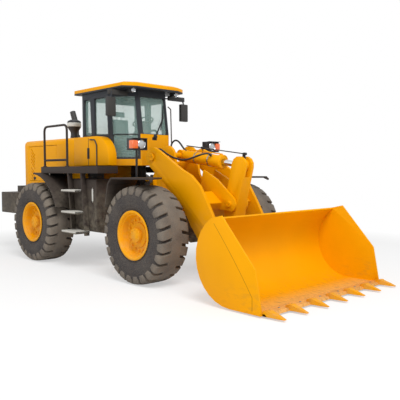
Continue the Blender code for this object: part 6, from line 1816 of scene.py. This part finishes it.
class LOADER_OT_stage(bpy.types.Operator):
    """White floor, soft studio light and the camera"""

    bl_idname = "loader.stage"
    bl_label = "Stage"

    def execute(self, context):
        stage = context.scene.loader_stage
        self.floor(context.scene, tuple(stage.floor) + (1.0,))
        light_world(context.scene, stage.fill)
        for name, place, size, share in LAMPS:
            add_lamp(name, place, size, stage.key * share)
        self.camera(context.scene, stage)
        context.scene.view_settings.view_transform = "Standard"
        return {"FINISHED"}

    def floor(self, scene, colour):
        """A wide square under the wheels."""
        bm = bmesh.new()
        corners = ((-1, -1), (1, -1), (1, 1), (-1, 1))
        bm.faces.new([bm.verts.new((x * FLOOR_HALF, y * FLOOR_HALF, GROUND_Z)) for x, y in corners])
        mesh = bpy.data.meshes.new("floor")
        bm.to_mesh(mesh)
        bm.free()
        floor = bpy.data.objects.new("floor", mesh)
        scene.collection.objects.link(floor)
        mesh.materials.append(floor_material(colour))

    def camera(self, scene, stage):
        """The camera, which looks at the machine as the photograph does."""
        camera = bpy.data.cameras.new("camera")
        holder = bpy.data.objects.new("camera", camera)
        scene.collection.objects.link(holder)
        holder.location = stage.camera_place
        azimuth, elevation, roll = map(math.radians, CAMERA_TURN)
        level = math.cos(elevation)
        back = Vector((math.sin(azimuth) * level, -math.cos(azimuth) * level, math.sin(elevation)))
        turn = (-back).to_track_quat("-Z", "Y").to_matrix()
        holder.rotation_euler = (turn @ Matrix.Rotation(roll, 3, "Z")).to_euler()
        camera.lens = stage.lens
        camera.sensor_width = CAMERA_SENSOR
        camera.shift_y = CAMERA_SHIFT
        camera.clip_end = 200.0
        scene.camera = holder


def floor_material(colour):
    """A floor that keeps the shadow near the machine and turns to plain white farther out."""
    finish = Finish("floor")
    point, *_ = finish.place()
    far = finish.node("ShaderNodeVectorMath", {"operation": "LENGTH"}, {0: point}, output=1).above(6.5, 4.0)
    seen = finish.node("ShaderNodeLightPath") * 0.5
    finish.tree.nodes.remove(finish.shader)
    soft = finish.node("ShaderNodeBsdfDiffuse", values={"Color": colour})
    white = finish.node("ShaderNodeEmission", values={"Color": WHITE, "Strength": 1.0})
    share = far.maths("MAXIMUM", far, seen)
    mixed = finish.node("ShaderNodeMixShader", values={0: share, 1: soft, 2: white})
    plug(finish.tree, mixed, finish.output.inputs["Surface"])
    return finish.material


def light_world(scene, strength):
    """Even light from all round, with white where the camera looks past the object."""
    scene.world = bpy.data.worlds.new("studio")
    scene.world.use_nodes = True
    studio = Nodes(scene.world.node_tree)
    studio.tree.nodes.clear()
    camera_ray = studio.node("ShaderNodeLightPath")
    rays = camera_ray.socket.node.outputs
    glossy, through = (Signal(studio.tree, rays[name]) for name in ("Is Glossy Ray", "Is Transmission Ray"))
    seen = camera_ray.maths("ADD", camera_ray, glossy + through, clamp=True)
    light, white = (
        studio.node("ShaderNodeBackground", values={"Color": WHITE, "Strength": power})
        for power in (strength, 1.0)
    )
    mixed = studio.node("ShaderNodeMixShader", values={0: seen, 1: light, 2: white})
    studio.node("ShaderNodeOutputWorld", values={"Surface": mixed})


def add_lamp(name, place, size, power):
    """A square soft light that looks at the machine."""
    lamp = bpy.data.lights.new(name, "AREA")
    lamp.size = size
    lamp.energy = power
    holder = bpy.data.objects.new(name, lamp)
    bpy.context.scene.collection.objects.link(holder)
    holder.location = place
    aim = Vector(LAMP_AIM) - Vector(place)
    holder.rotation_euler = aim.to_track_quat("-Z", "Y").to_euler()


# The add-on

OPERATORS = (
    LOADER_OT_tyres, LOADER_OT_wheels, LOADER_OT_panels, LOADER_OT_stacks, LOADER_OT_cab_trim,
    LOADER_OT_seat, LOADER_OT_steering, LOADER_OT_lamps, LOADER_OT_cover_trim, LOADER_OT_steps,
    LOADER_OT_cylinders, LOADER_OT_pins, LOADER_OT_hoses, LOADER_OT_bucket_edge, LOADER_OT_stage,
)


class LOADER_PT_pieces(bpy.types.Panel):
    """The loader's pieces and their settings"""

    bl_label = "Loader"
    bl_idname = "LOADER_PT_pieces"
    bl_space_type = "VIEW_3D"
    bl_region_type = "UI"
    bl_category = "Loader"

    def draw(self, context):
        layout = self.layout
        for group in ("loader_look", "loader_sizes", "loader_stage"):
            settings = getattr(context.scene, group)
            box = layout.box()
            for name in settings.__annotations__:
                box.prop(settings, name)
        for operator in OPERATORS:
            layout.operator(operator.bl_idname)


GROUPS = (("loader_look", LoaderLook), ("loader_sizes", LoaderSizes), ("loader_stage", LoaderStage))


def register():
    """Makes the tools and settings known."""
    for name, group in GROUPS:
        bpy.utils.register_class(group)
        setattr(bpy.types.Scene, name, bpy.props.PointerProperty(type=group))
    for cls in (*OPERATORS, LOADER_PT_pieces):
        bpy.utils.register_class(cls)


def unregister():
    """Takes the tools and settings away again."""
    for cls in (LOADER_PT_pieces, *reversed(OPERATORS)):
        bpy.utils.unregister_class(cls)
    for name, group in reversed(GROUPS):
        delattr(bpy.types.Scene, name)
        bpy.utils.unregister_class(group)


def main():
    """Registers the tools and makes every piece."""
    register()
    make_materials(bpy.context.scene.loader_look)
    for operator in OPERATORS:
        group, name = operator.bl_idname.split(".")
        getattr(getattr(bpy.ops, group), name)()


if __name__ == "__main__":
    main()
